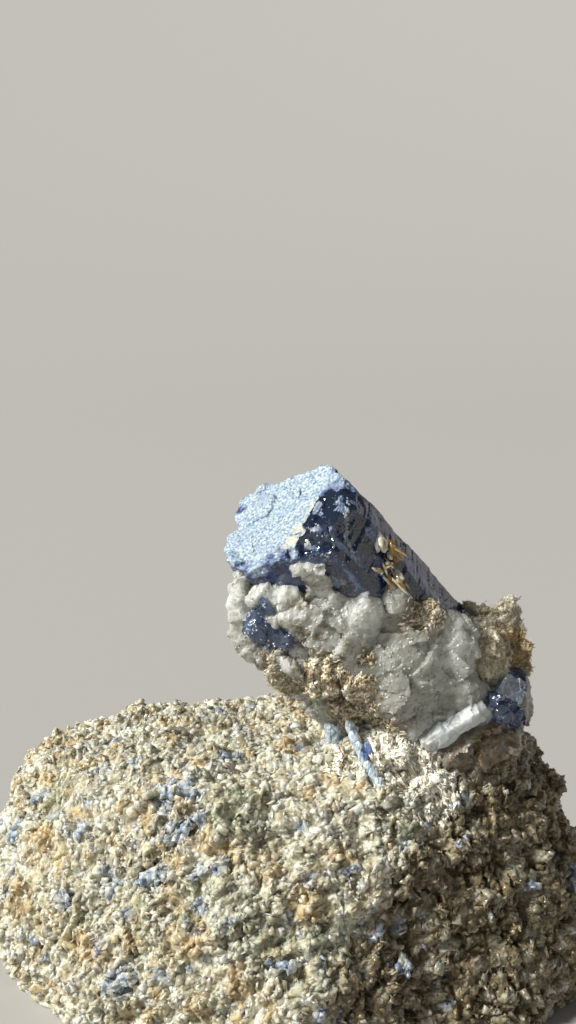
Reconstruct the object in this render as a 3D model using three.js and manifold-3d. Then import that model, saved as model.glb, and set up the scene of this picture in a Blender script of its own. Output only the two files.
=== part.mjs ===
// A blue sapphire crystal that leans out of a block of mica schist, sheathed in white quartz.
// Millimetres, +Z up, -Y towards the side that shows best. The block rests on its flat underside.
import * as THREE from "three";
import { mergeVertices } from "three/addons/utils/BufferGeometryUtils.js";
import Module from "manifold-3d";

const wasm = await Module();
wasm.setup();

const DEGREE = Math.PI / 180;
const CONTACT_GAP = 0.3; // clearance between pieces that touch

// Each relief has its own numbers, so that no two pieces are alike
const SEEDS = { block: 3, leaves: 5, layers: 7, wobble: 8, sheath: 11, mounds: 23, books: 31 };

// Driving dimensions of the block of schist
const BLOCK_CENTRE = new THREE.Vector3(1, 1, 12);
const BLOCK_DETAIL = 10;
const FLOOR_CUT = 200; // side of the cube that cuts the underside flat
const BLOCK_ROUNDING = 9; // higher is more angular
// Each broken face: azimuth from +X, elevation, distance from the block's centre
const BLOCK_FACES = [
  [0, 90, 12.5],
  [0, -90, 18],
  [184, 8, 33],
  [146, 30, 31],
  [212, 42, 25],
  [238, 22, 22],
  [262, 4, 22.5],
  [296, 14, 19.5],
  [330, 4, 31],
  [2, 8, 31.5],
  [30, 34, 25],
  [62, 6, 24],
  [95, -18, 24],
  [100, 18, 24],
  [128, -6, 26.5],
  [190, -25, 34],
  [226, -34, 30],
  [300, -38, 29],
  [350, -25, 35],
  [40, -36, 30],
];
// Swellings and hollows: azimuth, elevation, height, width in degrees
const BLOCK_SWELLS = [
  [14, 42, 5.5, 20],
  [330, 34, 1.6, 14],
  [305, 56, 3.0, 13],
  [2, 16, -1.5, 7],
  [92, 29, 3.2, 5],
  [150, 36, 1.2, 12],
  [258, 30, -1.4, 12],
  [276, -2, 1.2, 13],
  [200, 20, 1.4, 12],
  [236, -8, -1.3, 12],
  [352, -4, 1.4, 11],
  [312, -8, -1.5, 10],
  [120, 45, -1.2, 12],
  [50, 0, -1.8, 14],
  [80, -10, 1.6, 12],
  [140, 4, -1.6, 13],
];
// Lumps of the broken surface: size of a lump, height
const BLOCK_RELIEF = [
  [12, 1.5],
  [5, 0.9],
  [2.6, 0.5],
];
// The schist splits in layers, which step the broken faces
const LAYER_NORMAL = [118, 38]; // azimuth, elevation
const LAYER_THICKNESS = 4.6;
const LAYER_STEP = 0.9;
const LAYER_WANDER = 1.6; // how far a layer strays from its plane
const LAYER_WANDER_SIZE = 9;
const SCARP_STEEPNESS = 4; // against the gentle side of a step
const MEAN_STEP = 0.4; // as a share of a step's height
// The mound that holds the foot of the sapphire, and the shoulder under it
const BLOCK_MOUNDS = [
  { at: [14.0, 5.4, 22.8], radii: [10.4, 10.8, 10.8], detail: 5 },
  { at: [14.0, 9.0, 18.5], radii: [13.5, 13.0, 9.3], detail: 5 },
];

// Driving dimensions of the main sapphire, a six-sided prism
const PRISM_FOOT = new THREE.Vector3(17.4, 2.6, 27.9);
const PRISM_HEADING = 214; // the way it leans, from +X
const PRISM_RISE = 45;
const PRISM_ROLL = 39;
const PRISM_LENGTH = 30;
const PRISM_TAPER = 0.05; // share by which the foot is wider than the cap
// Corners of the six-sided section: distance from the axis, angle
const PRISM_CORNERS = [
  [7.5, 182],
  [9.3, 134],
  [7.1, 59],
  [7.9, 1],
  [7.8, -50],
  [6.9, -128],
];
// Growth bands round the prism: start, end, how far they stand out
const PRISM_BANDS = [
  [9, 11, 0.16],
  [16.4, 20.2, 0.22],
  [24.4, 26.6, 0.14],
];
// Chips out of the cap's rim: position in the prism's frame, size, turn
const PRISM_CHIPS = [
  { at: [8.2, 1.5, 30.6], size: [6, 9, 3.4], turn: [10, 52, 0] },
  { at: [-8.4, 2.6, 30.2], size: [3.4, 2.6, 5], turn: [0, -22, 24] },
  { at: [3.2, -5.6, 30.4], size: [4.6, 3.6, 2.6], turn: [-32, 12, 14] },
  { at: [0.6, 7.4, 30.2], size: [5.5, 2.6, 2.8], turn: [30, 0, -8] },
  { at: [-5.8, -5.2, 30.3], size: [3.6, 2.4, 2.2], turn: [-24, -20, -38] },
];
const CAP_ROOM = 2; // height over the cap that stays clear
// Low terraces on the cap: centre, radius, height, corners, turn
const CAP_TERRACES = [
  [-2.4, 2.0, 4.2, 0.45, 7, 12],
  [-3.6, 3.2, 2.4, 0.85, 5, 40],
  [2.2, -0.8, 2.9, 0.4, 6, 25],
  [-4.9, -2.2, 1.9, 0.55, 5, 5],
];

const TERRACE_TAPER = 0.9;
const TERRACE_ROOT = 1; // depth of a terrace's slab under the cap

// Lumps of quartz that sheathe the prism: centre and radii in the prism's frame
const SHEATH_LUMPS = [
  { at: [-5.6, -3.8, 18.6], radii: [4.4, 4.9, 9.8], detail: 4 },
  { at: [-4.6, -4.6, 12.2], radii: [4.8, 4.8, 8.6], detail: 4 },
  { at: [-1.4, -4.8, 14.4], radii: [7.2, 5.0, 10.4], detail: 4 },
  { at: [3.4, -3.8, 8.2], radii: [5.0, 6.2, 11.2], detail: 4 },
  { at: [1.6, -0.6, 3.4], radii: [6.8, 8.6, 8.2], detail: 4 },
];
const SHEATH_RELIEF = [
  [4.5, 0.7],
  [2.2, 0.45],
];

// Books of mica: thin leaves that fan out of a core, in degrees about the level axis they share
const SHOULDER_BOOK = {
  core: { at: [17.8, -5.0, 35.0], radii: [4.2, 4.0, 4.0] },
  centre: [18.2, -4.2, 34.2],
  leaves: 11,
  thickness: 0.75,
  radius: 4.7,
  fan: [-32, 100],
  tilt: [-14, 0],
};
const LOWER_BOOK = {
  core: { at: [2.0, -10.0, 35.3], radii: [2.7, 1.8, 2.4] },
  centre: [1.6, -10.0, 35.4],
  leaves: 6,
  thickness: 0.6,
  radius: 3.2,
  fan: [-118, -8],
  tilt: [12, 34],
};
const SIDE_BOOK = {
  core: { at: [9.3, -10.9, 44.6], radii: [0.9, 0.8, 2.4] },
  centre: [9.3, -10.9, 43.6],
  leaves: 4,
  thickness: 0.45,
  radius: 2.3,
  fan: [-34, 22],
  tilt: [10, -38],
};
const BOOK_REACH = 0.28; // share of a leaf's radius by which it stands out of the fan's centre
const BOOK_CORE_DETAIL = 3;
const LEAF_SIDES = 9;
const LEAF_RAGGEDNESS = 0.16;
const LEAF_WOBBLE = 4; // degrees out of the fan's own angle
const OUTER_LEAF = 0.86; // size of the first and last leaf, against the middle one
const SHOULDER_HORN = {
  at: [21.6, -3.4, 38.2],
  radius: 1.2,
  length: 3.2,
  azimuth: 20,
  elevation: 58,
};

// Small six-sided crystals: centre, radius, length, and the way their axis points
const RIGHT_SAPPHIRES = [
  { at: [21.5, -5.3, 31.7], radius: 1.75, length: 3.4, azimuth: 322, elevation: 38 },
  { at: [21.3, -5.7, 29.2], radius: 1.6, length: 3.6, azimuth: 300, elevation: -12 },
  { at: [19.4, -7.2, 30.6], radius: 1.15, length: 2.6, azimuth: 250, elevation: 24 },
];
const LEFT_SAPPHIRES = [
  { at: [-2.0, -10.3, 40.5], radius: 1.3, length: 2.7, azimuth: 262, elevation: 8 },
  { at: [-3.0, -9.8, 38.4], radius: 1.45, length: 3.2, azimuth: 236, elevation: -18 },
  { at: [-1.0, -10.3, 38.2], radius: 1.25, length: 2.6, azimuth: 268, elevation: -30 },
];
const QUARTZ_BAR = { at: [16.5, -8.1, 28.8], radius: 1.75, length: 8.2, azimuth: 347, elevation: 39 };
const BLUE_BLADE = { at: [7.3, -9.0, 26.6], size: [6.6, 1.5, 0.8], turn: [58, 6, -52] };
const BLUE_NUB = { at: [4.7, -6.6, 27.4], radius: 1.1, length: 2.4, azimuth: 250, elevation: 60 };
const CRYSTAL_TAPER = 0.82; // the outer end's radius as a share of the inner end's

// Blue grains in the schist: azimuth, elevation, length, width, turn from level
const BLUE_GRAINS = [
  [230, 32, 4.5, 1.5, 15],
  [236, 23, 3.5, 1.5, 45],
  [189, 9, 2.2, 1.6, 80],
  [209, 1, 2.3, 1.7, 10],
  [229, 11, 2.6, 2.2, 30],
  [226, -13, 4.0, 1.4, 25],
  [266, -6, 2.3, 1.3, 5],
  [298, -9, 1.9, 1.6, 40],
  [345, 2, 2.4, 1.7, 60],
  [20, -14, 2.6, 2.0, 15],
  [75, 10, 3.4, 1.5, 50],
  [112, 4, 2.4, 2.0, 0],
  [150, 12, 3.0, 1.6, 35],
];
const GRAIN_SINK = 0.12; // depth of a grain's axis under the surface, as a share of its width
const SLOPE_STEP = 3; // degrees over which the block's slope under a grain is taken

const colours = {
  schist: 0xb3a486,
  sapphire: 0x1f2f6b,
  clearSapphire: 0x5f7fb4,
  quartz: 0xcfd2cd,
  mica: 0xb58e54,
  kyanite: 0x8fa6b8,
};
const surface = (colour, roughness) =>
  new THREE.MeshStandardMaterial({ color: colour, roughness, metalness: 0 });
const materials = {
  schist: surface(colours.schist, 0.8),
  sapphire: surface(colours.sapphire, 0.18),
  clearSapphire: surface(colours.clearSapphire, 0.1),
  quartz: surface(colours.quartz, 0.45),
  mica: surface(colours.mica, 0.35),
  kyanite: surface(colours.kyanite, 0.3),
};

// Solids

function solidOf(geometry) {
  const bare = geometry.clone();
  bare.deleteAttribute("normal");
  bare.deleteAttribute("uv");
  const merged = mergeVertices(bare, 1e-4);
  return new wasm.Manifold(
    new wasm.Mesh({
      numProp: 3,
      vertProperties: merged.attributes.position.array,
      triVerts: new Uint32Array(merged.index.array),
    }),
  );
}

function meshOf(name, solid, material) {
  const { vertProperties, triVerts } = solid.getMesh();
  const geometry = new THREE.BufferGeometry();
  geometry.setAttribute("position", new THREE.BufferAttribute(vertProperties, 3));
  geometry.setIndex(new THREE.BufferAttribute(triVerts, 1));
  geometry.computeVertexNormals();
  const mesh = new THREE.Mesh(geometry, material);
  mesh.name = name;
  return mesh;
}

const united = (solids) => solids.reduce((whole, next) => whole.add(next));
const cutBy = (solid, cutters) => cutters.reduce((rest, cutter) => rest.subtract(cutter), solid);

// The largest body of a solid, without crumbs that a cut left loose
const mainBody = (solid) =>
  solid.decompose().reduce((best, body) => (body.volume() > best.volume() ? body : best));

// Placing

function direction(azimuth, elevation) {
  const a = azimuth * DEGREE;
  const e = elevation * DEGREE;
  return new THREE.Vector3(Math.cos(a) * Math.cos(e), Math.sin(a) * Math.cos(e), Math.sin(e));
}

function placement(at, turn = [0, 0, 0]) {
  const [x, y, z] = turn.map((angle) => angle * DEGREE);
  return new THREE.Matrix4()
    .makeRotationFromEuler(new THREE.Euler(x, y, z))
    .setPosition(...at);
}

// The prism's own frame: its third axis runs from the foot to the cap
function prismFrame() {
  const along = direction(PRISM_HEADING, PRISM_RISE);
  const level = new THREE.Vector3(0, 0, 1).cross(along).normalize();
  const across = level.clone().applyAxisAngle(along, PRISM_ROLL * DEGREE);
  const back = along.clone().cross(across);
  return new THREE.Matrix4().makeBasis(across, back, along).setPosition(PRISM_FOOT);
}
const PRISM_FRAME = prismFrame();

// Natural relief

function latticeValue(x, y, z, seed) {
  const wave = Math.sin(x * 127.1 + y * 311.7 + z * 74.7 + seed * 53.3) * 43758.5453;
  return 2 * (wave - Math.floor(wave)) - 1;
}

// Smooth repeatable noise from -1 to 1
function noise(point, size, seed) {
  const [x, y, z] = [point.x / size, point.y / size, point.z / size];
  const [i, j, k] = [x, y, z].map(Math.floor);
  const [u, v, w] = [x - i, y - j, z - k].map((t) => t * t * (3 - 2 * t));
  let total = 0;
  for (const di of [0, 1])
    for (const dj of [0, 1])
      for (const dk of [0, 1]) {
        const weight = (di ? u : 1 - u) * (dj ? v : 1 - v) * (dk ? w : 1 - w);
        total += weight * latticeValue(i + di, j + dj, k + dk, seed);
      }
  return total;
}

const reliefAt = (point, relief, seed) =>
  relief.reduce((sum, [size, height], i) => sum + height * noise(point, size, seed + i), 0);

// A closed ball of triangles whose vertices are moved by a function of their direction
function ball(detail, radiusAt) {
  const geometry = new THREE.IcosahedronGeometry(1, detail);
  const position = geometry.attributes.position;
  const vertex = new THREE.Vector3();
  for (let i = 0; i < position.count; i++) {
    vertex.fromBufferAttribute(position, i).normalize();
    vertex.copy(radiusAt(vertex.clone()));
    position.setXYZ(i, vertex.x, vertex.y, vertex.z);
  }
  return geometry;
}

// The block of schist

const blockFaces = BLOCK_FACES.map(([azimuth, elevation, distance]) => ({
  normal: direction(azimuth, elevation),
  distance,
}));
const blockSwells = BLOCK_SWELLS.map(([azimuth, elevation, height, width]) => ({
  centre: direction(azimuth, elevation),
  height,
  width: width * DEGREE,
}));

// A saw tooth across the layers, which wander a little
function layerStep(point) {
  const wander = LAYER_WANDER * noise(point, LAYER_WANDER_SIZE, SEEDS.layers);
  const layer = (point.dot(direction(...LAYER_NORMAL)) + wander) / LAYER_THICKNESS;
  const rise = layer - Math.floor(layer);
  return LAYER_STEP * (Math.min(rise, (1 - rise) * SCARP_STEEPNESS) - MEAN_STEP);
}

function blockSurface(towards) {
  let closeness = 0;
  for (const { normal, distance } of blockFaces) {
    const lean = towards.dot(normal) / distance;
    if (lean > 0) closeness += lean ** BLOCK_ROUNDING;
  }
  let reach = closeness ** (-1 / BLOCK_ROUNDING);
  for (const { centre, height, width } of blockSwells)
    reach += height * Math.exp(-((towards.angleTo(centre) / width) ** 2));
  const point = towards.clone().multiplyScalar(reach);
  const lumps = reliefAt(point, BLOCK_RELIEF, SEEDS.block) + layerStep(point);
  return point.addScaledVector(towards, lumps).add(BLOCK_CENTRE);
}

function schistBlock() {
  const below = new THREE.BoxGeometry(FLOOR_CUT, FLOOR_CUT, FLOOR_CUT);
  below.translate(0, 0, -FLOOR_CUT / 2);
  const mounds = BLOCK_MOUNDS.map((mound) =>
    lump({ ...mound, seed: SEEDS.mounds, relief: BLOCK_RELIEF }),
  );
  return united([solidOf(ball(BLOCK_DETAIL, blockSurface)), ...mounds]).subtract(solidOf(below));
}

// The main sapphire

function sectionAt(grow) {
  const corners = PRISM_CORNERS.map(([radius, angle]) => [
    (radius + grow) * Math.cos(angle * DEGREE),
    (radius + grow) * Math.sin(angle * DEGREE),
  ]);
  return new THREE.Shape(corners.reverse().map(([x, y]) => new THREE.Vector2(x, y)));
}

function prismPart(start, end, grow) {
  const geometry = new THREE.ExtrudeGeometry(sectionAt(grow), {
    depth: end - start,
    bevelEnabled: false,
  });
  geometry.translate(0, 0, start);
  const position = geometry.attributes.position;
  for (let i = 0; i < position.count; i++) {
    const z = position.getZ(i);
    const widen = 1 + PRISM_TAPER * (1 - z / PRISM_LENGTH);
    position.setXYZ(i, position.getX(i) * widen, position.getY(i) * widen, z);
  }
  return solidOf(geometry);
}

function terrace([x, y, radius, height, corners, turn]) {
  const thickness = height + TERRACE_ROOT;
  const slab = new THREE.CylinderGeometry(radius * TERRACE_TAPER, radius, thickness, corners);
  slab.rotateX(Math.PI / 2).rotateZ(turn * DEGREE);
  slab.translate(x, y, PRISM_LENGTH + height - thickness / 2);
  return solidOf(slab);
}

function mainSapphire() {
  const bands = PRISM_BANDS.map(([start, end, out]) => prismPart(start, end, out));
  const grown = united([prismPart(0, PRISM_LENGTH, 0), ...bands, ...CAP_TERRACES.map(terrace)]);
  const chips = PRISM_CHIPS.map(({ at, size, turn }) =>
    solidOf(new THREE.BoxGeometry(...size).applyMatrix4(placement(at, turn))),
  );
  return mainBody(cutBy(grown, chips)).transform(PRISM_FRAME.elements);
}

// The room that the main sapphire takes up in its neighbours, past its cap too
function mainSapphireRoom() {
  const widest = Math.max(...PRISM_BANDS.map(([, , out]) => out));
  const room = prismPart(-CONTACT_GAP, PRISM_LENGTH + CAP_ROOM, widest + CONTACT_GAP);
  return room.transform(PRISM_FRAME.elements);
}

// Small crystals

function sixSided({ at, radius, length, azimuth, elevation }, grow = 0) {
  const outer = radius * CRYSTAL_TAPER + grow;
  const geometry = new THREE.CylinderGeometry(outer, radius + grow, length + 2 * grow, 6);
  const turn = new THREE.Quaternion().setFromUnitVectors(
    new THREE.Vector3(0, 1, 0),
    direction(azimuth, elevation),
  );
  geometry.applyQuaternion(turn).translate(...at);
  return solidOf(geometry);
}

const cluster = (members, grow = 0) => united(members.map((member) => sixSided(member, grow)));

function blueBlade(grow = 0) {
  const { at, size, turn } = BLUE_BLADE;
  const blade = new THREE.BoxGeometry(...size.map((side) => side + 2 * grow));
  return solidOf(blade.applyMatrix4(placement(at, turn)));
}

// A grain lies along the surface of the block, a little more than half sunk in it
function blueGrain([azimuth, elevation, length, width, turn], grow = 0) {
  const here = blockSurface(direction(azimuth, elevation));
  const along = blockSurface(direction(azimuth + SLOPE_STEP, elevation)).sub(here);
  const upward = blockSurface(direction(azimuth, elevation + SLOPE_STEP)).sub(here);
  const outward = along.clone().cross(upward).normalize();
  const level = along.addScaledVector(outward, -along.dot(outward)).normalize();
  const axis = level.applyAxisAngle(outward, turn * DEGREE);
  const side = outward.clone().cross(axis);
  const radius = width / 2;
  const grain = new THREE.CylinderGeometry(
    radius * CRYSTAL_TAPER + grow,
    radius + grow,
    length + 2 * grow,
    6,
  );
  grain.rotateZ(-Math.PI / 2).rotateX(turn * DEGREE);
  grain.applyMatrix4(new THREE.Matrix4().makeBasis(axis, side, outward));
  grain.translate(...here.addScaledVector(outward, -GRAIN_SINK * width));
  return solidOf(grain);
}

// Quartz

function lump({ at, radii, detail, seed, relief = SHEATH_RELIEF }, grow = 0) {
  const centre = new THREE.Vector3(...at);
  const size = new THREE.Vector3(...radii);
  return solidOf(
    ball(detail, (towards) => {
      const point = towards.clone().multiply(size);
      const lumps = reliefAt(point.clone().add(centre), relief, seed);
      return point.addScaledVector(towards, lumps + grow).add(centre);
    }),
  );
}

function quartzSheath(grow = 0) {
  const lumps = SHEATH_LUMPS.map((shape, i) => lump({ ...shape, seed: SEEDS.sheath + i }, grow));
  return united(lumps).transform(PRISM_FRAME.elements);
}

// Books of mica

function micaLeaf(book, index, grow) {
  const share = index / (book.leaves - 1);
  const corners = [];
  for (let i = 0; i < LEAF_SIDES; i++) {
    const angle = (i / LEAF_SIDES) * 2 * Math.PI;
    const ragged = 1 + LEAF_RAGGEDNESS * latticeValue(i, index, 0, SEEDS.leaves);
    const reach = OUTER_LEAF + (1 - OUTER_LEAF) * Math.sin(share * Math.PI);
    const radius = book.radius * reach * ragged + grow;
    corners.push(new THREE.Vector2(radius * Math.cos(angle), radius * Math.sin(angle)));
  }
  const leaf = new THREE.ExtrudeGeometry(new THREE.Shape(corners), {
    depth: book.thickness + 2 * grow,
    bevelEnabled: false,
  });
  leaf.translate(0, book.radius * BOOK_REACH, -book.thickness / 2 - grow);
  const [first, last] = book.fan;
  leaf.rotateX((90 + LEAF_WOBBLE * latticeValue(index, 1, 1, SEEDS.wobble)) * DEGREE);
  leaf.rotateY((first + share * (last - first)) * DEGREE);
  leaf.rotateX(book.tilt[0] * DEGREE).rotateZ(book.tilt[1] * DEGREE);
  leaf.translate(...book.centre);
  return solidOf(leaf);
}

function micaBook(book, grow = 0) {
  const leaves = [];
  for (let i = 0; i < book.leaves; i++) leaves.push(micaLeaf(book, i, grow));
  const core = lump({ ...book.core, detail: BOOK_CORE_DETAIL, seed: SEEDS.books }, grow);
  return united([core, ...leaves]);
}

const shoulderBook = (grow) => micaBook(SHOULDER_BOOK, grow).add(sixSided(SHOULDER_HORN, grow));

// Assembly: each piece fills the space that the pieces before it leave

const group = new THREE.Group();
const rooms = [];
function place(name, material, solid, room) {
  group.add(meshOf(name, mainBody(cutBy(solid, rooms)), material));
  rooms.push(room);
}
function placeGrown(name, material, build) {
  place(name, material, build(0), build(CONTACT_GAP));
}

place("main_sapphire", materials.sapphire, mainSapphire(), mainSapphireRoom());
placeGrown("right_sapphires", materials.clearSapphire, (grow) => cluster(RIGHT_SAPPHIRES, grow));
placeGrown("left_sapphires", materials.clearSapphire, (grow) => cluster(LEFT_SAPPHIRES, grow));
placeGrown("quartz_bar", materials.quartz, (grow) => sixSided(QUARTZ_BAR, grow));
placeGrown("side_mica_book", materials.mica, (grow) => micaBook(SIDE_BOOK, grow));
placeGrown("shoulder_mica_book", materials.mica, shoulderBook);
placeGrown("lower_mica_book", materials.mica, (grow) => micaBook(LOWER_BOOK, grow));
placeGrown("quartz_sheath", materials.quartz, quartzSheath);
placeGrown("blue_blade", materials.kyanite, blueBlade);
placeGrown("blue_nub", materials.kyanite, (grow) => sixSided(BLUE_NUB, grow));
BLUE_GRAINS.forEach((grain, i) => {
  const name = `blue_grain_${String(i + 1).padStart(2, "0")}`;
  placeGrown(name, materials.sapphire, (grow) => blueGrain(grain, grow));
});
place("mica_schist_block", materials.schist, schistBlock(), null);

// The origin is under the middle of the whole piece
const box = new THREE.Box3().setFromObject(group);
const middle = box.getCenter(new THREE.Vector3());
group.position.set(-middle.x, -middle.y, -box.min.z);

export default group;
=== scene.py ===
"""A blue sapphire crystal, sheathed in white quartz, that leans out of a block of mica schist."""

import math

import bmesh
import bpy
import numpy as np
from bpy.props import FloatProperty, FloatVectorProperty, PointerProperty
from mathutils import Euler, Matrix, Quaternion, Vector, noise


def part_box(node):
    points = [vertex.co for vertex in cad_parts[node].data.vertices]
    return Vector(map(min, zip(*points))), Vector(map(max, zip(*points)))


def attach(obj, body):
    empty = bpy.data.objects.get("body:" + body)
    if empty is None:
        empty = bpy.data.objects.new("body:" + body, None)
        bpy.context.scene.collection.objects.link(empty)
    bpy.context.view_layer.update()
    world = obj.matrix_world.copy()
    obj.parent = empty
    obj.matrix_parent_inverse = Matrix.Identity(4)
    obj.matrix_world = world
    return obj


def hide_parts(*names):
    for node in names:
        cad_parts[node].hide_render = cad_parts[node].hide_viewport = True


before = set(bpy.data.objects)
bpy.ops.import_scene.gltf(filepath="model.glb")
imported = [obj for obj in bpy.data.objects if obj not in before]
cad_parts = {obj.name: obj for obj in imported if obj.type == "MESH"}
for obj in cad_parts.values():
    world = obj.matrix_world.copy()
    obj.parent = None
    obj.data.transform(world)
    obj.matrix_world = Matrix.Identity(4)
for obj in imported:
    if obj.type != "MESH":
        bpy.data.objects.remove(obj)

bl_info = {
    "name": "Sapphire on mica schist",
    "version": (1, 0, 0),
    "blender": (4, 5, 0),
    "location": "3D View > Sidebar > Specimen",
    "description": "Builds a blue sapphire crystal that leans out of a block of mica schist",
    "category": "Add Mesh",
}

# Places below are in the millimetres that the solids were drawn in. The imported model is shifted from
# them, and the sapphire's box says by how much.
MM = 0.001
SAPPHIRE_LOW = (-6.236, -15.668, 22.778)
SHIFT = np.array(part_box("main_sapphire")[0]) / MM - SAPPHIRE_LOW
MERGE = 1e-6

# The camera of the photograph
CAMERA_EYE = (0.0, -154.9, 70.2)
CAMERA_AIM = (0.0, 0.0, 48.4)
CAMERA_LENS = 55

# The sapphire's own axes: it leans towards this heading, this steeply, and is rolled about its length
PRISM_FOOT = (17.4, 2.6, 27.9)
PRISM_HEADING = 214
PRISM_RISE = 45
PRISM_ROLL = 39
PRISM_LENGTH = 30

LAYER_NORMAL = (118, 38)  # azimuth and elevation of the normal to the schist's layers

# Width of the voxels that each piece is remeshed with, in millimetres
VOXELS = {
    "schist": 0.34,
    "sapphire": 0.18,
    "sheath": 0.19,
    "book": 0.17,
    "bar": 0.12,
    "small crystals": 0.09,
    "clear crystal": 0.1,
    "blade": 0.08,
    "blue grains": 0.14,
}


def direction(azimuth, elevation):
    """The unit vector at an azimuth from +X and an elevation, in degrees."""
    a, e = math.radians(azimuth), math.radians(elevation)
    return np.array((math.cos(a) * math.cos(e), math.sin(a) * math.cos(e), math.sin(e)))


def prism_axes():
    """Rows: across, back and along the sapphire."""
    along = Vector(direction(PRISM_HEADING, PRISM_RISE))
    level = Vector((0, 0, 1)).cross(along).normalized()
    across = Quaternion(along, math.radians(PRISM_ROLL)) @ level
    return np.array((across, along.cross(across), along))


PRISM = prism_axes()
LAYERS = direction(*LAYER_NORMAL)


def in_prism(points):
    """Places in the sapphire's own axes."""
    return (points - PRISM_FOOT) @ PRISM.T


def from_prism(points):
    """Places given in the sapphire's own axes."""
    return np.asarray(points, float) @ PRISM + PRISM_FOOT


# Meshes


def read_places(mesh):
    """A mesh's vertices in millimetres."""
    flat = np.empty(len(mesh.vertices) * 3)
    mesh.vertices.foreach_get("co", flat)
    return flat.reshape(-1, 3) / MM - SHIFT


def write_places(mesh, points):
    """Moves a mesh's vertices to places in millimetres."""
    mesh.vertices.foreach_set("co", ((points + SHIFT) * MM).ravel())
    mesh.update()


def read_normals(mesh):
    """A mesh's vertex normals."""
    flat = np.empty(len(mesh.vertices) * 3)
    mesh.vertices.foreach_get("normal", flat)
    return flat.reshape(-1, 3)


def write_mask(mesh, name, values):
    """Stores one number for each vertex, for the materials to read."""
    layer = mesh.attributes.new(name, "FLOAT", "POINT")
    layer.data.foreach_set("value", np.asarray(values, np.float32))


def copy_of(*nodes):
    """A bmesh that holds merged copies of CAD nodes."""
    shape = bmesh.new()
    for node in nodes:
        shape.from_mesh(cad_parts[node].data)
    bmesh.ops.remove_doubles(shape, verts=shape.verts, dist=MERGE)
    return shape


def add_lump(shape, at, radii, turn=(0, 0, 0), detail=3):
    """Adds a ball, stretched and turned, at a place in millimetres."""
    place = Matrix.LocRotScale(
        Vector((np.array(at) + SHIFT) * MM),
        Euler([math.radians(angle) for angle in turn]),
        Vector(radii) * MM,
    )
    bmesh.ops.create_icosphere(shape, subdivisions=detail, radius=1, matrix=place)


def add_crystal(shape, at, radius, length, azimuth, elevation, sides, taper, spin):
    """Adds a crystal whose axis points along an azimuth and an elevation, narrower at its far end."""
    towards = Vector(direction(azimuth, elevation))
    turn = Vector((0, 0, 1)).rotation_difference(towards).to_matrix().to_4x4()
    place = (
        Matrix.Translation(Vector((np.array(at) + SHIFT) * MM))
        @ turn
        @ Matrix.Rotation(math.radians(spin), 4, "Z")
    )
    bmesh.ops.create_cone(
        shape, cap_ends=True, segments=sides, radius1=radius * MM, radius2=radius * taper * MM,
        depth=length * MM, matrix=place,
    )


def remeshed(shape, voxel, smoothing):
    """An even mesh of a bmesh's outer skin, with its edges worn by some rounds of smoothing."""
    draft = bpy.data.meshes.new("draft")
    shape.to_mesh(draft)
    shape.free()
    holder = bpy.data.objects.new("draft", draft)
    bpy.context.scene.collection.objects.link(holder)
    voxels = holder.modifiers.new("voxels", "REMESH")
    voxels.mode = "VOXEL"
    voxels.voxel_size = voxel * MM
    wear = holder.modifiers.new("wear", "SMOOTH")
    wear.factor = 0.5
    wear.iterations = smoothing
    evaluated = holder.evaluated_get(bpy.context.evaluated_depsgraph_get())
    mesh = bpy.data.meshes.new_from_object(evaluated)
    bpy.data.objects.remove(holder)
    bpy.data.meshes.remove(draft)
    return mesh


def add_piece(name, mesh, materials, nodes=()):
    """Puts a finished mesh in the scene as a piece that stands for CAD nodes."""
    piece = bpy.data.objects.new(name, mesh)
    bpy.context.scene.collection.objects.link(piece)
    mesh.name = name
    for material in materials:
        mesh.materials.append(material)
    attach(piece, "root")
    if nodes:
        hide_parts(*nodes)
    return piece


# Natural relief


def unit(vectors):
    """Vectors of length one."""
    return vectors / np.maximum(np.linalg.norm(vectors, axis=-1, keepdims=True), 1e-9)


def bumps(points, size, seed, octaves=2):
    """Smooth noise from about -1 to 1 with lumps of a size in millimetres."""
    shift = 31.7 * seed
    return np.array(
        [
            noise.fractal((x / size + shift, y / size - shift, z / size), 1.0, 2.0, octaves)
            for x, y, z in points.tolist()
        ]
    )


def grains(points, size, seed):
    """For each point its distance to the nearest grain's middle and edge, and the grain's number."""
    shift = 31.7 * seed
    rows = []
    for x, y, z in points.tolist():
        gaps, middles = noise.voronoi((x / size + shift, y / size - shift, z / size))
        rows.append((gaps[0], gaps[1] - gaps[0], noise.cell(middles[0] * 7.3)))
    return np.array(rows).T


def facets(points, size, seed):
    """Relief of flat facets, one to a grain and each tilted its own way, in millimetres."""
    shift = 31.7 * seed
    rows = []
    for x, y, z in points.tolist():
        place = Vector((x / size + shift, y / size - shift, z / size))
        _, middles = noise.voronoi(place)
        tilt = noise.cell_vector(middles[0] * 7.3) - Vector((0.5, 0.5, 0.5))
        rows.append(tilt.dot(place - middles[0]))
    return np.array(rows) * size


def near(points, places):
    """Strength from 0 to 1 by the closest of some places, each with a radius and a strength."""
    total = np.zeros(len(points))
    for x, y, z, radius, strength in places:
        gap = np.linalg.norm(points - (x, y, z), axis=1) / radius
        total = np.maximum(total, strength * np.clip(1.7 - 1.2 * gap, 0, 1))
    return total


def ragged(mask, points, size, seed, amount=0.6):
    """A mask with torn edges."""
    return np.clip(mask + amount * bumps(points, size, seed, 3) * (mask > 0.01), 0, 1)


# Small shapes that are strewn by the thousand


def small_shape(build):
    """Vertices, face corners and face sizes of a shape that a bmesh operator makes."""
    shape = bmesh.new()
    build(shape)
    shape.verts.ensure_lookup_table()
    points = np.array([vertex.co for vertex in shape.verts])
    corners = [[vertex.index for vertex in face.verts] for face in shape.faces]
    shape.free()
    return points, np.concatenate(corners), np.array([len(face) for face in corners])


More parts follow.
